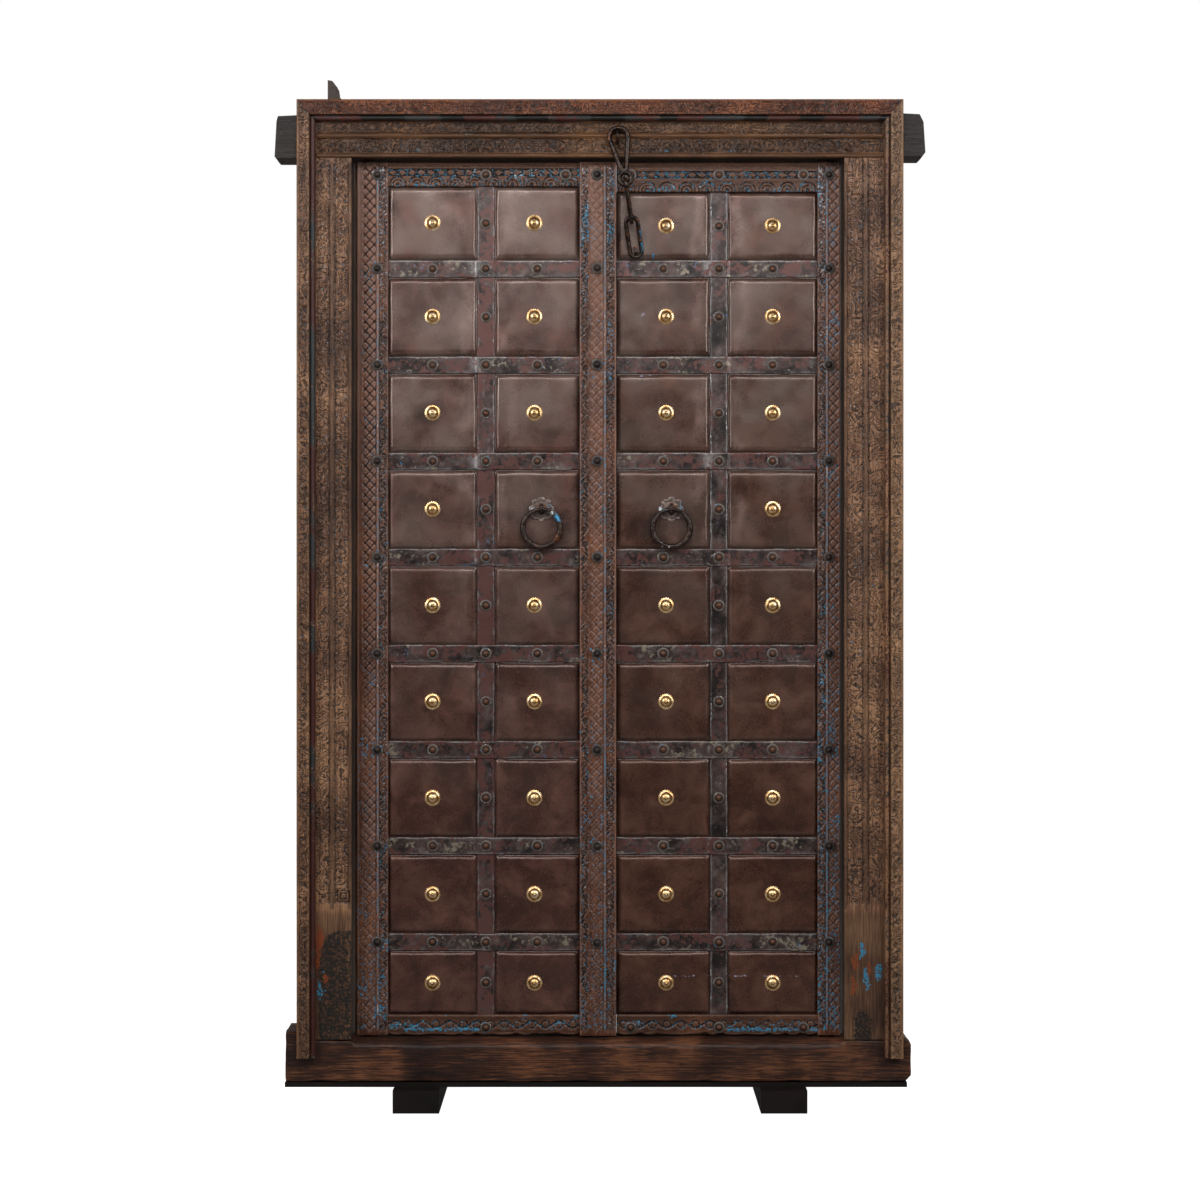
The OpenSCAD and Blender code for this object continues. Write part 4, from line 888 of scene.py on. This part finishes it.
# The rails: short carved boards between the uprights, at the head and foot of each leaf. The head rails carry
# scalloped arches under a row of diamonds, the foot rails a running scroll with flaking blue paint.
rail_step = 2.0
rail_row = 1.7
rail_carve = 2.8
arch_run = 42.0
wave_run = 58.0
rail_wood = old_wood("dark carved hardwood, level", "X", ("#26130c", "#482b1c", "#6c442f"), "#0b0706",
                     leaf_paints, wear_and_sheen_tone="#806050", roughness=0.36)


def carved_rail(side, place, seed):
    """One rail; u runs to the right from its left end and v up from its lower edge, in millimetres."""
    source = side + "_" + place + "_rail"
    low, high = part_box(source)
    width, height = (high.x - low.x) / mm, (high.z - low.z) / mm
    u, v = np.meshgrid(spread(0, width, rail_step), spread(0, height, rail_row))
    spots = ramp(rough(u / 40, v / 20, seed + 7), -0.1, 0.5)
    if place == "top":
        pitch = even_pitch(width, arch_run)
        arch = np.hypot(cell(u, pitch), v - 3)
        cuts = np.maximum(dab(arch, 17, 1.6), dab(arch, 10.5, 1.3))
        cuts = np.maximum(cuts, np.clip(1.4 - arch / 4.5, 0, 1)) * (v < height * 0.46)
        from_row = np.abs(v - height * 0.58)
        lozenge = np.abs(cell(u, pitch / 2)) / 9.5 + from_row / 7
        cuts = np.maximum(cuts, np.clip(2.4 * (lozenge - 0.75), 0, 1) * (from_row < 7.5))
        blue = 0.58 * spots * (v < height * 0.5) * (0.7 + 0.3 * cuts)
        bare = 0.4 * ramp(v, height * 0.74, height * 0.8)
    else:
        pitch, middle = even_pitch(width, wave_run), height * 0.52
        wave = middle + 7 * np.sin(2 * math.pi * u / pitch)
        rings = dab(np.hypot(cell(u, pitch / 2), v - middle), 8, 1.4)
        cuts = np.maximum(dab(v, wave, 2.0), 0.9 * rings) * (v > 8) * (v < height - 4)
        strip = ramp(u, 26, 34) * (1 - ramp(u, 190, 204)) if side == "left" else ramp(u, 215, 235)
        blue = np.maximum(0.54 * strip * dab(v, 12, 10), 0.48 * ramp(v, 8, 12) * spots)
        bare = 0.5 * ramp(6 - v + 4 * noise(u / 14, v * 0, seed), 0, 5)
    fade = 0.6 + 0.4 * ramp(rough(u / 90, v / 30, seed), -0.5, 0.3)
    ragged = 3.0 * ramp(5 - v + 4 * noise(u / 17, v * 0, seed + 2), 0, 6) * (place == "bottom")
    depth = rail_carve * cuts * fade + 0.5 * timber_noise(v, u, seed + 3)
    depth = depth + arris(v, 2.5) + arris(height - v, 2.5) + ragged
    marks = {"hollow": np.clip(cuts * fade + 0.25 * ragged, 0, 1)}
    marks["worn"] = np.clip(rubbed_edges(depth, 1.4) + bare, 0, 1)
    marks["busy"] = 0.3 + 0.7 * (cuts > 0.1)
    marks["blue"] = np.maximum(blue, 0.44 * marks["busy"])
    marks["pale"] = (0.45 if source == "left_top_rail" else 0.4) * marks["busy"] * (0.7 + 0.3 * spots)
    y = face_y + (leaf_recess + np.minimum(depth, board_d - 1)) * mm
    board(source, side + "_leaf", rail_wood, low.x + u * mm, low.z + v * mm, y, leaf_recess + board_d, marks)


for side, seed in (("left", 181), ("right", 211)):
    carved_rail(side, "top", seed)
    carved_rail(side, "bottom", seed + 13)


# The planks, battens and inner meeting stile: plain sawn boards that hold each leaf together from behind.
# Nobody carved or painted them, so they are only dark with age.
plain_wood = old_wood("dark plain boards", "Z", ("#1f1510", "#33231a", "#4a3426"), "#120c09", {},
                      roughness=0.7)
batten_wood = old_wood("dark plain battens", "X", ("#21170f", "#38271c", "#4e3829"), "#120c09", {},
                       roughness=0.7)
for source in ("left_planks", "right_planks", "right_meeting_stile"):
    dress(source, plain_wood)
for source in ("left_battens", "right_battens"):
    dress(source, batten_wood)


# The iron sheets: two to a leaf, beaten over the planks so that a flat cushion stands up between the straps.
# The waxed patina is brown and plum. Their creases along the straps are painted black as shade, a painted
# shadow rings each pull, and a hazy pale painted sheen lies towards the top and beside the upright straps.
sheet_d = 47.4
plank_d = 49.0
panel_rise = 5.4
panel_gap = 1.5
shoulder = 12.0
sheet_step = 6.5
sheet_row = 9.0


def old_iron(name, tones, grime_and_shade, wear_and_sheen_tone, paint, roughness, metal, cloud_scale, upper=None, pit=0.35):
    """Old iron: clouded by its patina, dark in the creases with grime and painted shade, bright where rubbed
    and where highlights and sheen are painted, pitted and partly painted.

    Its specks are about 4 mm across and its flakes of paint 9 mm; an upper tone, a painted sheen, blooms in
    patches from 0.5 to 1.5 m up.
    """
    made, tree, shader, place = finish_tree(name)
    cloud = add(tree, "ShaderNodeTexNoise", {"Vector": place, "Scale": cloud_scale, "Detail": 7.0,
                                             "Roughness": 0.6, "Distortion": 0.4}).outputs["Fac"]
    speck = add(tree, "ShaderNodeTexNoise", {"Vector": place, "Scale": 240.0, "Detail": 5.0,
                                             "Roughness": 0.7}).outputs["Fac"]
    blend = add(tree, "ShaderNodeMix", {0: 0.3, 2: cloud, 3: speck}).outputs[0]
    colour = tones_of(tree, blend, ((0.36, tones[0]), (0.5, tones[1]), (0.64, tones[2])))
    # The upper tone is a painted sheen: a paler colour laid in hazy patches that grow towards the top.
    if upper:
        height = add(tree, "ShaderNodeSeparateXYZ", {"Vector": place}).outputs["Z"]
        rise = add(tree, "ShaderNodeMapRange", {"Value": height, "From Min": 0.5, "From Max": 1.5,
                                                "To Max": 0.62}).outputs["Result"]
        haze = add(tree, "ShaderNodeTexNoise", {"Vector": place, "Scale": 9.0, "Detail": 3.0}).outputs["Fac"]
        patchy = add(tree, "ShaderNodeMapRange", {"Value": haze, "From Min": 0.4, "From Max": 0.62,
                                                  "To Min": 0.25, "To Max": 1.5}).outputs["Result"]
        painted_sheen = add(tree, "ShaderNodeMath", {0: rise, 1: patchy}, operation="MULTIPLY", use_clamp=True)
        colour = layer(tree, colour, linear(upper), painted_sheen.outputs[0])
    wear_and_sheen_share = add(tree, "ShaderNodeMath", {0: marked(tree, "worn", 1.5), 1: speck}, operation="MULTIPLY")
    colour = layer(tree, colour, linear(wear_and_sheen_tone), wear_and_sheen_share.outputs[0])
    colour = layer(tree, colour, linear(grime_and_shade), marked(tree, "hollow", 0.92))
    fleck = add(tree, "ShaderNodeMapRange", {"Value": speck, "From Min": 0.67, "From Max": 0.72,
                                             "To Max": 0.7}).outputs["Result"]
    colour = layer(tree, colour, linear(wear_and_sheen_tone), fleck)
    colour = coats(tree, place, colour, paint, 110.0)
    gloss = add(tree, "ShaderNodeMapRange", {"Value": blend, "From Min": 0.3, "From Max": 0.7,
                                             "To Min": roughness - 0.1, "To Max": roughness + 0.14})
    bump = add(tree, "ShaderNodeBump", {"Height": blend, "Strength": pit, "Distance": 0.001})
    plug(tree, shader, {"Base Color": colour, "Roughness": gloss.outputs["Result"],
                        "Normal": bump.outputs["Normal"], "Metallic": metal})
    return made


def crowded(low, high, edges, step):
    """Places from low to high that crowd together at the edges named."""
    near = np.array([-14, -10.5, -7.5, -5, -3, -1.4, 0, 1.4, 3, 5, 7.5, 10.5, 14])
    places = np.concatenate([spread(low, high, step)] + [edge + near for edge in edges])
    places = np.unique(places[(places >= low) & (places <= high)].round(2))
    return places[np.concatenate([[True], np.diff(places) > 0.6])]


def cushion(t):
    """How high the beaten iron stands at a distance from its crease: steep at first, then ever flatter."""
    return 1 - (1 - np.clip(t / shoulder, 0, 1)) ** 3


def beaten_sheet(side, place, finish, seed):
    """One sheet; x and z are measured in millimetres in the door's own frame."""
    source = side + "_" + place + "_sheet"
    low, high = (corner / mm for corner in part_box(source))
    upright_low, upright_high = (corner.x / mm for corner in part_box(side + "_upright_strap"))
    field_low, field_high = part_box(side + "_lower_sheet")[0].z / mm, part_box(side + "_upper_sheet")[1].z / mm
    straps = [[corner.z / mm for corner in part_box(side + "_strap_%d" % k)] for k in range(1, strap_count + 1)]
    levels = [field_low] + [z for strap in straps for z in strap] + [field_high]
    uprights = [low.x, upright_low, upright_high, high.x]
    columns = crowded(low.x, high.x, uprights, sheet_step)
    x, z = np.meshgrid(columns, crowded(low.z, high.z, levels, sheet_row))
    height, edge = np.zeros_like(x), np.full_like(x, 40.0)
    for x0, x1 in (uprights[:2], uprights[2:]):
        for z0, z1 in zip(levels[0::2], levels[1::2]):
            ripple = 0.7 * noise(z / 23, x * 0, seed + z0)
            swing = 0.7 * noise(x / 23, z * 0, seed + x0)
            across = np.minimum(x - x0 - panel_gap + ripple, x1 - panel_gap - x + ripple)
            along = np.minimum(z - z0 - panel_gap + swing, z1 - panel_gap - z - swing)
            height = np.maximum(height, cushion(across) * cushion(along))
            inside = np.minimum(across, along)
            edge = np.where(inside > 0, inside, edge)
    dents = 1.9 * rough(x / 80, z / 80, seed + 3) + 0.5 * rough(x / 21, z / 21, seed + 5)
    beside = np.minimum(np.abs(x - upright_low), np.abs(x - upright_high))
    dents = dents + 1.3 * dab(beside, 24, 17) * rough(x / 17, z / 40, seed + 21)
    depth = sheet_d - panel_rise * height + np.clip(dents, -0.4, 2.2) * height
    ring_low, ring_high = (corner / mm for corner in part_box(side + "_ring"))
    from_pull = np.hypot(x - (ring_low.x + ring_high.x) / 2, z - (ring_low.z + ring_high.z) / 2)
    # Painted shadow: a dark ring on the cushion round each ring pull.
    ring_shade = dab(from_pull, (ring_high.x - ring_low.x) / 2, 9) * height
    # Painted sheen: pale hazy patches beside the upright strap, growing towards the top, laid in through the
    # wear mark.
    painted_sheen = dab(beside, 26, 20) * ramp(rough(x / 26, z / 60, seed + 25), -0.1, 0.5) * ramp(z, 700, 1400)
    # A thin pale line just inside each panel's edge: partly rubbed iron, partly a painted highlight on the rim.
    worn = 0.14 * dab(edge, 4, 2.5) * ramp(rough(x / 40, z / 40, seed + 9), -0.1, 0.5)
    # Painted shade: a dark band along each panel's edge where the sheet dives under the straps, and darker
    # still beneath them.
    painted_crease_shade = 0.35 * np.clip(1.1 - edge / 2.2, 0, 1) + (height == 0) * 0.5
    marks = {"hollow": painted_crease_shade + 0.4 * ring_shade, "worn": np.maximum(worn, 0.4 * painted_sheen * height)}
    if side == "right":
        low_seam = dab(z, 275 + 2 * noise(x / 30, z * 0, 4), 3.5)
        low_seam = low_seam * ramp(x, 130, 160) * (1 - ramp(x, 420, 450))
        scratched = spot(x, z, (84, 1680), (26, 36))
        arc = spot(x, z - 0.004 * (x - 90) ** 2, (92, 1545), (36, 6))
        marks["scuff"] = np.maximum(0.5 * low_seam, np.maximum(0.42 * scratched, 0.46 * arc))
        marks["blue"] = 0.56 * spot(x, z, (112, 1800), (16, 14))
    face = relief(x * mm, z * mm, face_y + depth * mm, face_y + plank_d * mm, marks)
    tie(joined("beaten_" + source, [face], finish, 70), side + "_leaf", "iron_sheet", source)


iron_paints = {"rust": "#6e3519", "blue": "#2f7099", "pale": "#a5a9ad", "scuff": "#9a93a6"}
# Each sheet's upper tone is a painted sheen that blooms towards the top of the leaf.
left_iron = old_iron("waxed sheet iron, plum", ("#33201a", "#4b2e26", "#654338"), "#0c0908", "#9a8078",
                     iron_paints, 0.27, 0.3, 16.0, upper="#6c5a52", pit=0.5)
right_iron = old_iron("waxed sheet iron, brown", ("#321c15", "#482b20", "#5f3f31"), "#0c0908", "#9a8078",
                      iron_paints, 0.27, 0.3, 16.0, upper="#5b4a42", pit=0.5)
for side, finish, seed in (("left", left_iron, 231), ("right", right_iron, 257)):
    beaten_sheet(side, "lower", finish, seed)
    beaten_sheet(side, "upper", finish, seed + 11)


# The straps: flat iron bars nailed over the sheets' edges, eight across each leaf, joggled over one up its
# middle. They are brown-plum with black and buff patches where old paint has flaked and grey where rubbed, with
# painted highlights at the joggles, on the upper straps and along the right upright's edges, and painted shade
# along every edge.
strap_face_d = 44.4
strap_t = 3.0
strap_step = 5.0
strap_rim = np.array([0, 0.8, 2, 4])
strap_paints = {"plum": "#5d3d38", "buff": "#83796a", "rust": "#6e3519", "blue": "#3f6f93",
                "painted_edge_highlight": "#b9b8b8"}
strap_iron = old_iron("flaking strap iron", ("#201a1a", "#3f312e", "#5e4a45"), "#0b0a0a", "#a9a5a5",
                      strap_paints, 0.31, 0.4, 22.0, pit=0.5)


def strap(source, body, upright, seed):
    """One strap; u runs along it and v across it, in millimetres."""
    low, high = (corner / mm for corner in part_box(source))
    span = (low.z, high.z) if upright else (low.x, high.x)
    wide = (high.x - low.x) if upright else (high.z - low.z)
    across = np.concatenate([strap_rim, spread(7, wide - 7, 6), wide - strap_rim[::-1]])
    u, v = np.meshgrid(spread(span[0], span[1], strap_step), across)
    middle = v - wide / 2
    trim = np.where(middle > 0, noise(u / 21, u * 0, seed), noise(u / 18, u * 0, seed + 4))
    v_out = wide / 2 + middle * (1 - 0.045 * (1 + trim))
    near = np.minimum(v, wide - v)
    waves = 0.35 * rough(u / 60, v / 40, seed + 6) + 0.2 * rough(u / 12, v / 12, seed + 8)
    over, glare = np.zeros_like(u), np.zeros_like(u)
    if not upright:
        side = body.split("_")[0]
        bar_low, bar_high = (corner.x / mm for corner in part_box(side + "_upright_strap"))
        over = ramp(u, bar_low - 5, bar_low) * (1 - ramp(u, bar_high, bar_high + 5))
        glare = 0.55 * dab(u, bar_low - 4, 10) * (low.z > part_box(side + "_ring")[1].z / mm)
    lie = np.clip(waves, -0.2, 0.8) + arris(near, 2.2)
    y = (face_y / mm + strap_face_d - strap_t * over + lie) * mm
    cloud = rough(u / 45, v / 22, seed + 2)
    soot_and_shade = 0.75 * ramp(rough(u / 38, v / 30, seed + 16), 0.1, 0.4)
    # Painted shade: a dark line along both edges of each strap; the soot patches elsewhere are its own colour.
    marks = {"hollow": np.maximum(0.7 * np.clip(1 - near / 2.0, 0, 1), soot_and_shade)}
    # Painted highlights: pale bands on both bends of each joggle and a glare left of the crossing on the upper
    # straps, laid in through the wear mark.
    marks["worn"] = rubbed_edges(lie, 2.0) + 2.4 * over * (1 - over) * ramp(cloud, -0.1, 0.2) + glare
    marks["plum"] = 0.44 + 0.3 * cloud + (0.1 if body == "left_leaf" else -0.06) * upright
    marks["buff"] = 0.35 - 0.3 * cloud - 0.15 * upright
    marks["blue"] = 0.2 + 0.3 * rough(u / 60, v / 30, seed + 12)
    # Painted highlight: pale lines along both edges of the right upright strap.
    if upright and body == "right_leaf":
        marks["painted_edge_highlight"] = 0.6 * dab(near, 1.5, 1.2) * ramp(rough(u / 50, v / 8, seed + 14), -0.3, 0.2)
    x, z = u * mm, (low.z + v_out) * mm
    if upright:
        x, z, y, marks = rearranged(np.transpose, (low.x + v_out) * mm, u * mm, y, marks)
    face = relief(x, z, y, face_y + sheet_d * mm, marks)
    tie(joined("flaking_" + source, [face], strap_iron, 60), body, "wrought_iron", source)


for side, seed in (("left", 281), ("right", 307)):
    strap(side + "_upright_strap", side + "_leaf", True, seed)
    for k in range(1, strap_count + 1):
        strap(side + "_strap_%d" % k, side + "_leaf", False, seed + 10 * k)


# The nails: hand-forged domed heads on round nicked washers, driven through the straps and the uprights.
# The heads are rust-brown on the iron and black on the wood, and the washers are flecked with old paint.
nail_profile = ((0, 7.0), (1.8, 6.8), (3.6, 6.0), (5.2, 4.4), (6.3, 2.6), (6.6, 1.9), (7.4, 1.7), (10.5, 1.9),
                (12.4, 1.5), (13.4, 0.7), (13.5, 0), (0, 0))
nail_iron = old_iron("rusty nail iron", ("#1f1815", "#3c2f29", "#594a42"), "#080707", "#9a8c82",
                     {"rust": "#5f3d2b", "blue": "#3f6f93", "pale": "#9a978f"}, 0.5, 0.4, 60.0, pit=0.5)


def lathe(name, profile, sides, edge, finish, marks_of):
    """A round head about the line towards the viewer: profile pairs of radius and height, shaped by edge."""
    turn = np.arange(sides) * 2 * math.pi / sides
    points, faces, rings = [], [], []
    for r, h in profile:
        first = len(points)
        if r == 0:
            points.append((0, -h * mm, 0))
            rings.append([first] * sides)
        else:
            radius, height = edge(r, h, turn)
            points += list(zip(radius * np.cos(turn) * mm, -height * mm, radius * np.sin(turn) * mm))
            rings.append(list(range(first, first + sides)))
    for one, two in zip(rings, rings[1:]):
        for k in range(sides):
            face = [one[k], two[k], two[(k + 1) % sides], one[(k + 1) % sides]]
            faces.append(list(dict.fromkeys(face)))
    places = np.array(points)
    marks = marks_of(np.hypot(places[:, 0], places[:, 2]) / mm, -places[:, 1] / mm)
    return joined(name, [(places, faces, marks)], finish, 50)


def islands(source):
    """The places of the separate solids in a CAD piece, sorted: middle across, deepest point, middle up."""
    shape = welded(node[source].data, 1e-6)
    left, found = set(shape.verts), []
    while left:
        stack = [left.pop()]
        group = []
        while stack:
            vert = stack.pop()
            group.append(vert.co[:])
            for edge in vert.link_edges:
                other = edge.other_vert(vert)
                if other in left:
                    left.remove(other)
                    stack.append(other)
        low, high = np.min(group, 0), np.max(group, 0)
        found.append(((low[0] + high[0]) / 2, high[1], (low[2] + high[2]) / 2))
    shape.free()
    return sorted(found)


def studs(name, places, head, finish, seed, vary):
    """Copies of one head on a set of points, each turned and sized a little differently, as one mesh."""
    cloud = bpy.data.meshes.new(name)
    cloud.from_pydata(places, [], [])
    made = put(name, cloud)
    tree = bpy.data.node_groups.new(name + " set out", "GeometryNodeTree")
    sockets = {}
    for label, kind in (("Points", "Geometry"), ("Head", "Object"), ("Finish", "Material"), ("Seed", "Int"),
                        ("Vary", "Float")):
        sockets[label] = tree.interface.new_socket(label, in_out="INPUT", socket_type="NodeSocket" + kind)
    tree.interface.new_socket("Studs", in_out="OUTPUT", socket_type="NodeSocketGeometry")
    given = add(tree, "NodeGroupInput").outputs
    form = add(tree, "GeometryNodeObjectInfo", {"Object": given["Head"]}).outputs["Geometry"]
    spin = add(tree, "FunctionNodeRandomValue", {2: 0.0, 3: 2 * math.pi, "Seed": given["Seed"]}).outputs[1]
    turn = add(tree, "ShaderNodeCombineXYZ", {"Y": spin}).outputs["Vector"]
    least = add(tree, "ShaderNodeMath", {0: 1.0, 1: given["Vary"]}, operation="SUBTRACT").outputs[0]
    size = add(tree, "FunctionNodeRandomValue", {2: least, 3: 1.0, "Seed": given["Seed"]}).outputs[1]
    copies = add(tree, "GeometryNodeInstanceOnPoints", {"Points": given["Points"], "Instance": form,
                                                        "Rotation": turn, "Scale": size}).outputs["Instances"]
    whole = add(tree, "GeometryNodeRealizeInstances", {"Geometry": copies}).outputs["Geometry"]
    dressed = add(tree, "GeometryNodeSetMaterial", {"Geometry": whole, "Material": given["Finish"]})
    add(tree, "NodeGroupOutput", {"Studs": dressed.outputs["Geometry"]})
    setter = made.modifiers.new("set out", "NODES")
    setter.node_group = tree
    for label, value in (("Head", head), ("Finish", finish), ("Seed", seed), ("Vary", vary)):
        setter[sockets[label].identifier] = value
    settle(made)
    return made


def washer_edge(r, h, turn):
    """The washers' outer edge is nicked twelve times round."""
    return r * (1 + 0.05 * (r > 12) * (np.cos(12 * turn) - 1)), h + 0 * turn


# Each washer's rim is paler, partly rubbed iron and partly a painted highlight ring.
nail_head = lathe("nail head", nail_profile, 24, washer_edge, nail_iron, lambda r, h: {
    "rust": 0.6 * (r < 6.5) * (h > 0.5), "hollow": 0.9 * dab(r, 7.2, 0.7), "worn": 0.5 * dab(r, 11.5, 1.6),
    "blue": 0.4 * (r > 7.5), "pale": 0.4 * (r > 7.5)})
for side, seed in (("left", 5), ("right", 8)):
    nails = studs("forged_" + side + "_nails", islands(side + "_nails"), nail_head, nail_iron, seed, 0.08)
    across = points_of(nails.data)[:, 0]
    sheet_low, sheet_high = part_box(side + "_lower_sheet")
    on_wood = (across < sheet_low.x) + (across > sheet_high.x)
    rust, soot = nails.data.attributes["rust"].data, nails.data.attributes["hollow"].data
    for k in np.flatnonzero(on_wood).tolist():
        rust[k].value, soot[k].value = 0.35 * rust[k].value, max(0.55, soot[k].value)
    tie(nails, side + "_leaf", "wrought_iron", side + "_nails")
bpy.data.objects.remove(nail_head)


# The bosses: cast and polished brass, a dome with a button in a ring of pointed rays, one on every iron
# cushion. They are the brightest things on the door, with dark polish left in their grooves.
boss_profile = ((0, 11.0), (1.3, 10.9), (2.1, 10.3), (2.4, 9.4), (3.0, 9.0), (5.5, 8.4), (8.2, 7.0),
                (10.2, 4.9), (11.3, 2.9), (11.9, 1.9), (12.6, 2.4), (13.3, 2.0), (14.2, 1.7), (17.9, 1.2),
                (18.0, 0), (0, 0))
ray_count = 22


def brass():
    """Polished cast brass: yellow, nearly mirror-bright on the dome, brown where polish stays in grooves."""
    made, tree, shader, place = finish_tree("polished brass")
    cloud = add(tree, "ShaderNodeTexNoise", {"Vector": place, "Scale": 90.0, "Detail": 5.0}).outputs["Fac"]
    colour = tones_of(tree, cloud, ((0.35, "#c99b66"), (0.5, "#e6bd88"), (0.66, "#f7deb6")))
    colour = layer(tree, colour, linear("#3a2512"), marked(tree, "hollow", 0.8))
    gloss = add(tree, "ShaderNodeMapRange", {"Value": cloud, "To Min": 0.26, "To Max": 0.46})
    plug(tree, shader, {"Base Color": colour, "Roughness": gloss.outputs["Result"], "Metallic": 1.0})
    return made


def ray_edge(r, h, turn):
    """The flange is cut into pointed rays, each with a ridge down its middle."""
    point = 1 - 2 * np.abs(np.mod(turn * ray_count / (2 * math.pi), 1) - 0.5)
    out = np.clip((r - 14) / 4, 0, 1)
    return r * (1 - 0.13 * out * point), h * (1 - 0.5 * np.clip((r - 13.5) / 2, 0, 1) * point * (h > 0))


brass_finish = brass()
boss_head = lathe("boss head", boss_profile, 2 * ray_count, ray_edge, brass_finish, lambda r, h: {
    "hollow": np.clip(dab(r, 12.0, 0.6) + dab(r, 2.8, 0.5) + 0.5 * (r > 14.5) * (h < 0.5), 0, 1)})
for side, seed in (("left", 13), ("right", 17)):
    source = side + "_bosses"
    bosses = studs("polished_" + source, islands(source), boss_head, brass_finish, seed, 0.04)
    tie(bosses, side + "_leaf", "brass", source)
bpy.data.objects.remove(boss_head)


# The ring pulls: a forged ring in an iron eye on a rosette of petals, one on each leaf.
# The left ring still has blue and white paint on its upper right and bare rust below it.
ring_voxel = 0.0011
pull_swell = 2.0
# Each paint on a ring: how much of it is left, the hour of the clock that it sits at and how far it reaches.
ring_paint = {"left": {"blue": (0.56, 1.8, 1.1), "pale": (0.5, 1.2, 1.0), "rust": (0.56, 4.0, 1.1)},
              "right": {"rust": (0.44, 3.0, 1.0), "pale": (0.42, 6.8, 1.6), "blue": (0.5, 11.3, 0.5)}}
pull_iron = old_iron("forged pull iron", ("#140e0b", "#2c1f18", "#4e3c32"), "#0a0706", "#a08c80",
                     {"rust": "#6b3c22", "blue": "#3f86ab", "pale": "#b9bec0"}, 0.36, 0.5, 90.0, pit=0.6)
rosette_iron = old_iron("worn rosette iron", ("#2a1c17", "#523c34", "#836a60"), "#0d0908", "#c4b6ae",
                        {"rust": "#6b3c22", "blue": "#3f86ab", "pale": "#c5ccd2"}, 0.34, 0.5, 120.0, pit=0.8)


def clock_of(points, middle):
    """The direction of each place round a middle as seen from the front, in hours from the top."""
    turn = np.arctan2(points[:, 0] - middle.x, points[:, 2] - middle.z)
    return np.mod(turn / (2 * math.pi) * 12, 12)


def swell(piece, share, amount):
    """Thickens a forged bar by a share of an amount at each point, but not backwards."""
    points, normals = points_of(piece.data), points_of(piece.data, "normal")
    normals[:, 1] = np.minimum(normals[:, 1], 0)
    piece.data.vertices.foreach_set("co", (points + normals * (share * amount * mm)[:, None]).ravel())
    piece.data.update()


for side, seed in (("left", 331), ("right", 337)):
    source = side + "_ring"
    low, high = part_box(source)
    ring = weathered("forged_" + source, source, pull_iron, ring_voxel, 0.7, 9, seed)
    hours = clock_of(points_of(ring.data), (low + high) / 2)
    from_top = np.minimum(hours, 12 - hours)
    swell(ring, ramp(from_top, 1.0, 2.2), pull_swell)
    set_marks(ring.data, {key: share * dab(hours, hour, reach)
                          for key, (share, hour, reach) in ring_paint[side].items()})
    tie(ring, side + "_ring", "wrought_iron", source)
    source = side + "_ring_plate"
    low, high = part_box(source)
    plate = weathered("petalled_" + source, source, rosette_iron, ring_voxel, 0.5, 6, seed + 2)
    hours = clock_of(points_of(plate.data), (low + high) / 2)
    out = np.linalg.norm((points_of(plate.data) - np.array((low + high) / 2))[:, [0, 2]], axis=1) / mm
    petals = 1.0 * (out > 10)
    # The petals are lighter all over through the wear mark, partly rubbed and partly painted glints.
    set_marks(plate.data, {"pale": 0.52 * dab(hours, 9, 1.2) * petals, "worn": 0.3 * petals,
                           "blue": 0.48 * dab(hours, 2.5, 1.4) * petals, "rust": 0.5 * (out < 14),
                           "hollow": 0.6 * dab(out, 19, 2.0)})
    tie(plate, side + "_leaf", "wrought_iron", source)
    source = side + "_ring_staple"
    eye = weathered("forged_" + source, source, pull_iron, ring_voxel, 0.3, 5, seed + 4)
    tie(eye, side + "_leaf", "wrought_iron", source)


# The chain latch: a staple in the lintel, a long hasp with an eye, and two hand-forged links that drop over a
# peg on the right leaf. It is the plainest smith's work on the door, nearly black, with some rust and, on the
# end link, blue paint.
chain_voxel = 0.0011
chain_swell = 1.8
chain_iron = old_iron("forged chain iron", ("#0f0a08", "#241913", "#43342b"), "#0a0706", "#a3968e",
                      {"rust": "#5a3019", "blue": "#3a7fa6", "pale": "#aab3ba"}, 0.27, 0.6, 80.0, pit=0.7)


def outer_side(piece, inset):
    """How far each point of a long link faces away from the line up the middle of its opening."""
    points, normals = points_of(piece.data), points_of(piece.data, "normal")
    middle = (points.max(0) + points.min(0)) / 2
    axis = np.linalg.svd(points[::7] - middle, full_matrices=False)[2][0]
    along = (points - middle) @ axis
    reach = np.abs(along).max() - inset * mm
    away = points - middle - np.outer(np.clip(along, -reach, reach), axis)
    away = away / np.linalg.norm(away, axis=1)[:, None]
    return np.clip((normals * away).sum(1), 0, 1)


for source, body, seed in (("lintel_staple", "frame", 351), ("hasp_link", "hasp_link", 353),
                           ("middle_link", "middle_link", 357), ("end_link", "end_link", 361),
                           ("chain_peg", "right_leaf", 367)):
    piece = weathered("forged_" + source, source, chain_iron, chain_voxel, 0.5, 8, seed)
    if source.endswith("_link"):
        swell(piece, outer_side(piece, 17), chain_swell)
    places = points_of(piece.data)
    low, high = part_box(source)
    right_side = ramp(places[:, 0], (low.x + high.x) / 2, high.x)
    set_marks(piece.data, {"blue": 0.55 * right_side * (source == "end_link"), "rust": 0.42 + 0 * right_side})
    tie(piece, body, "wrought_iron", source)
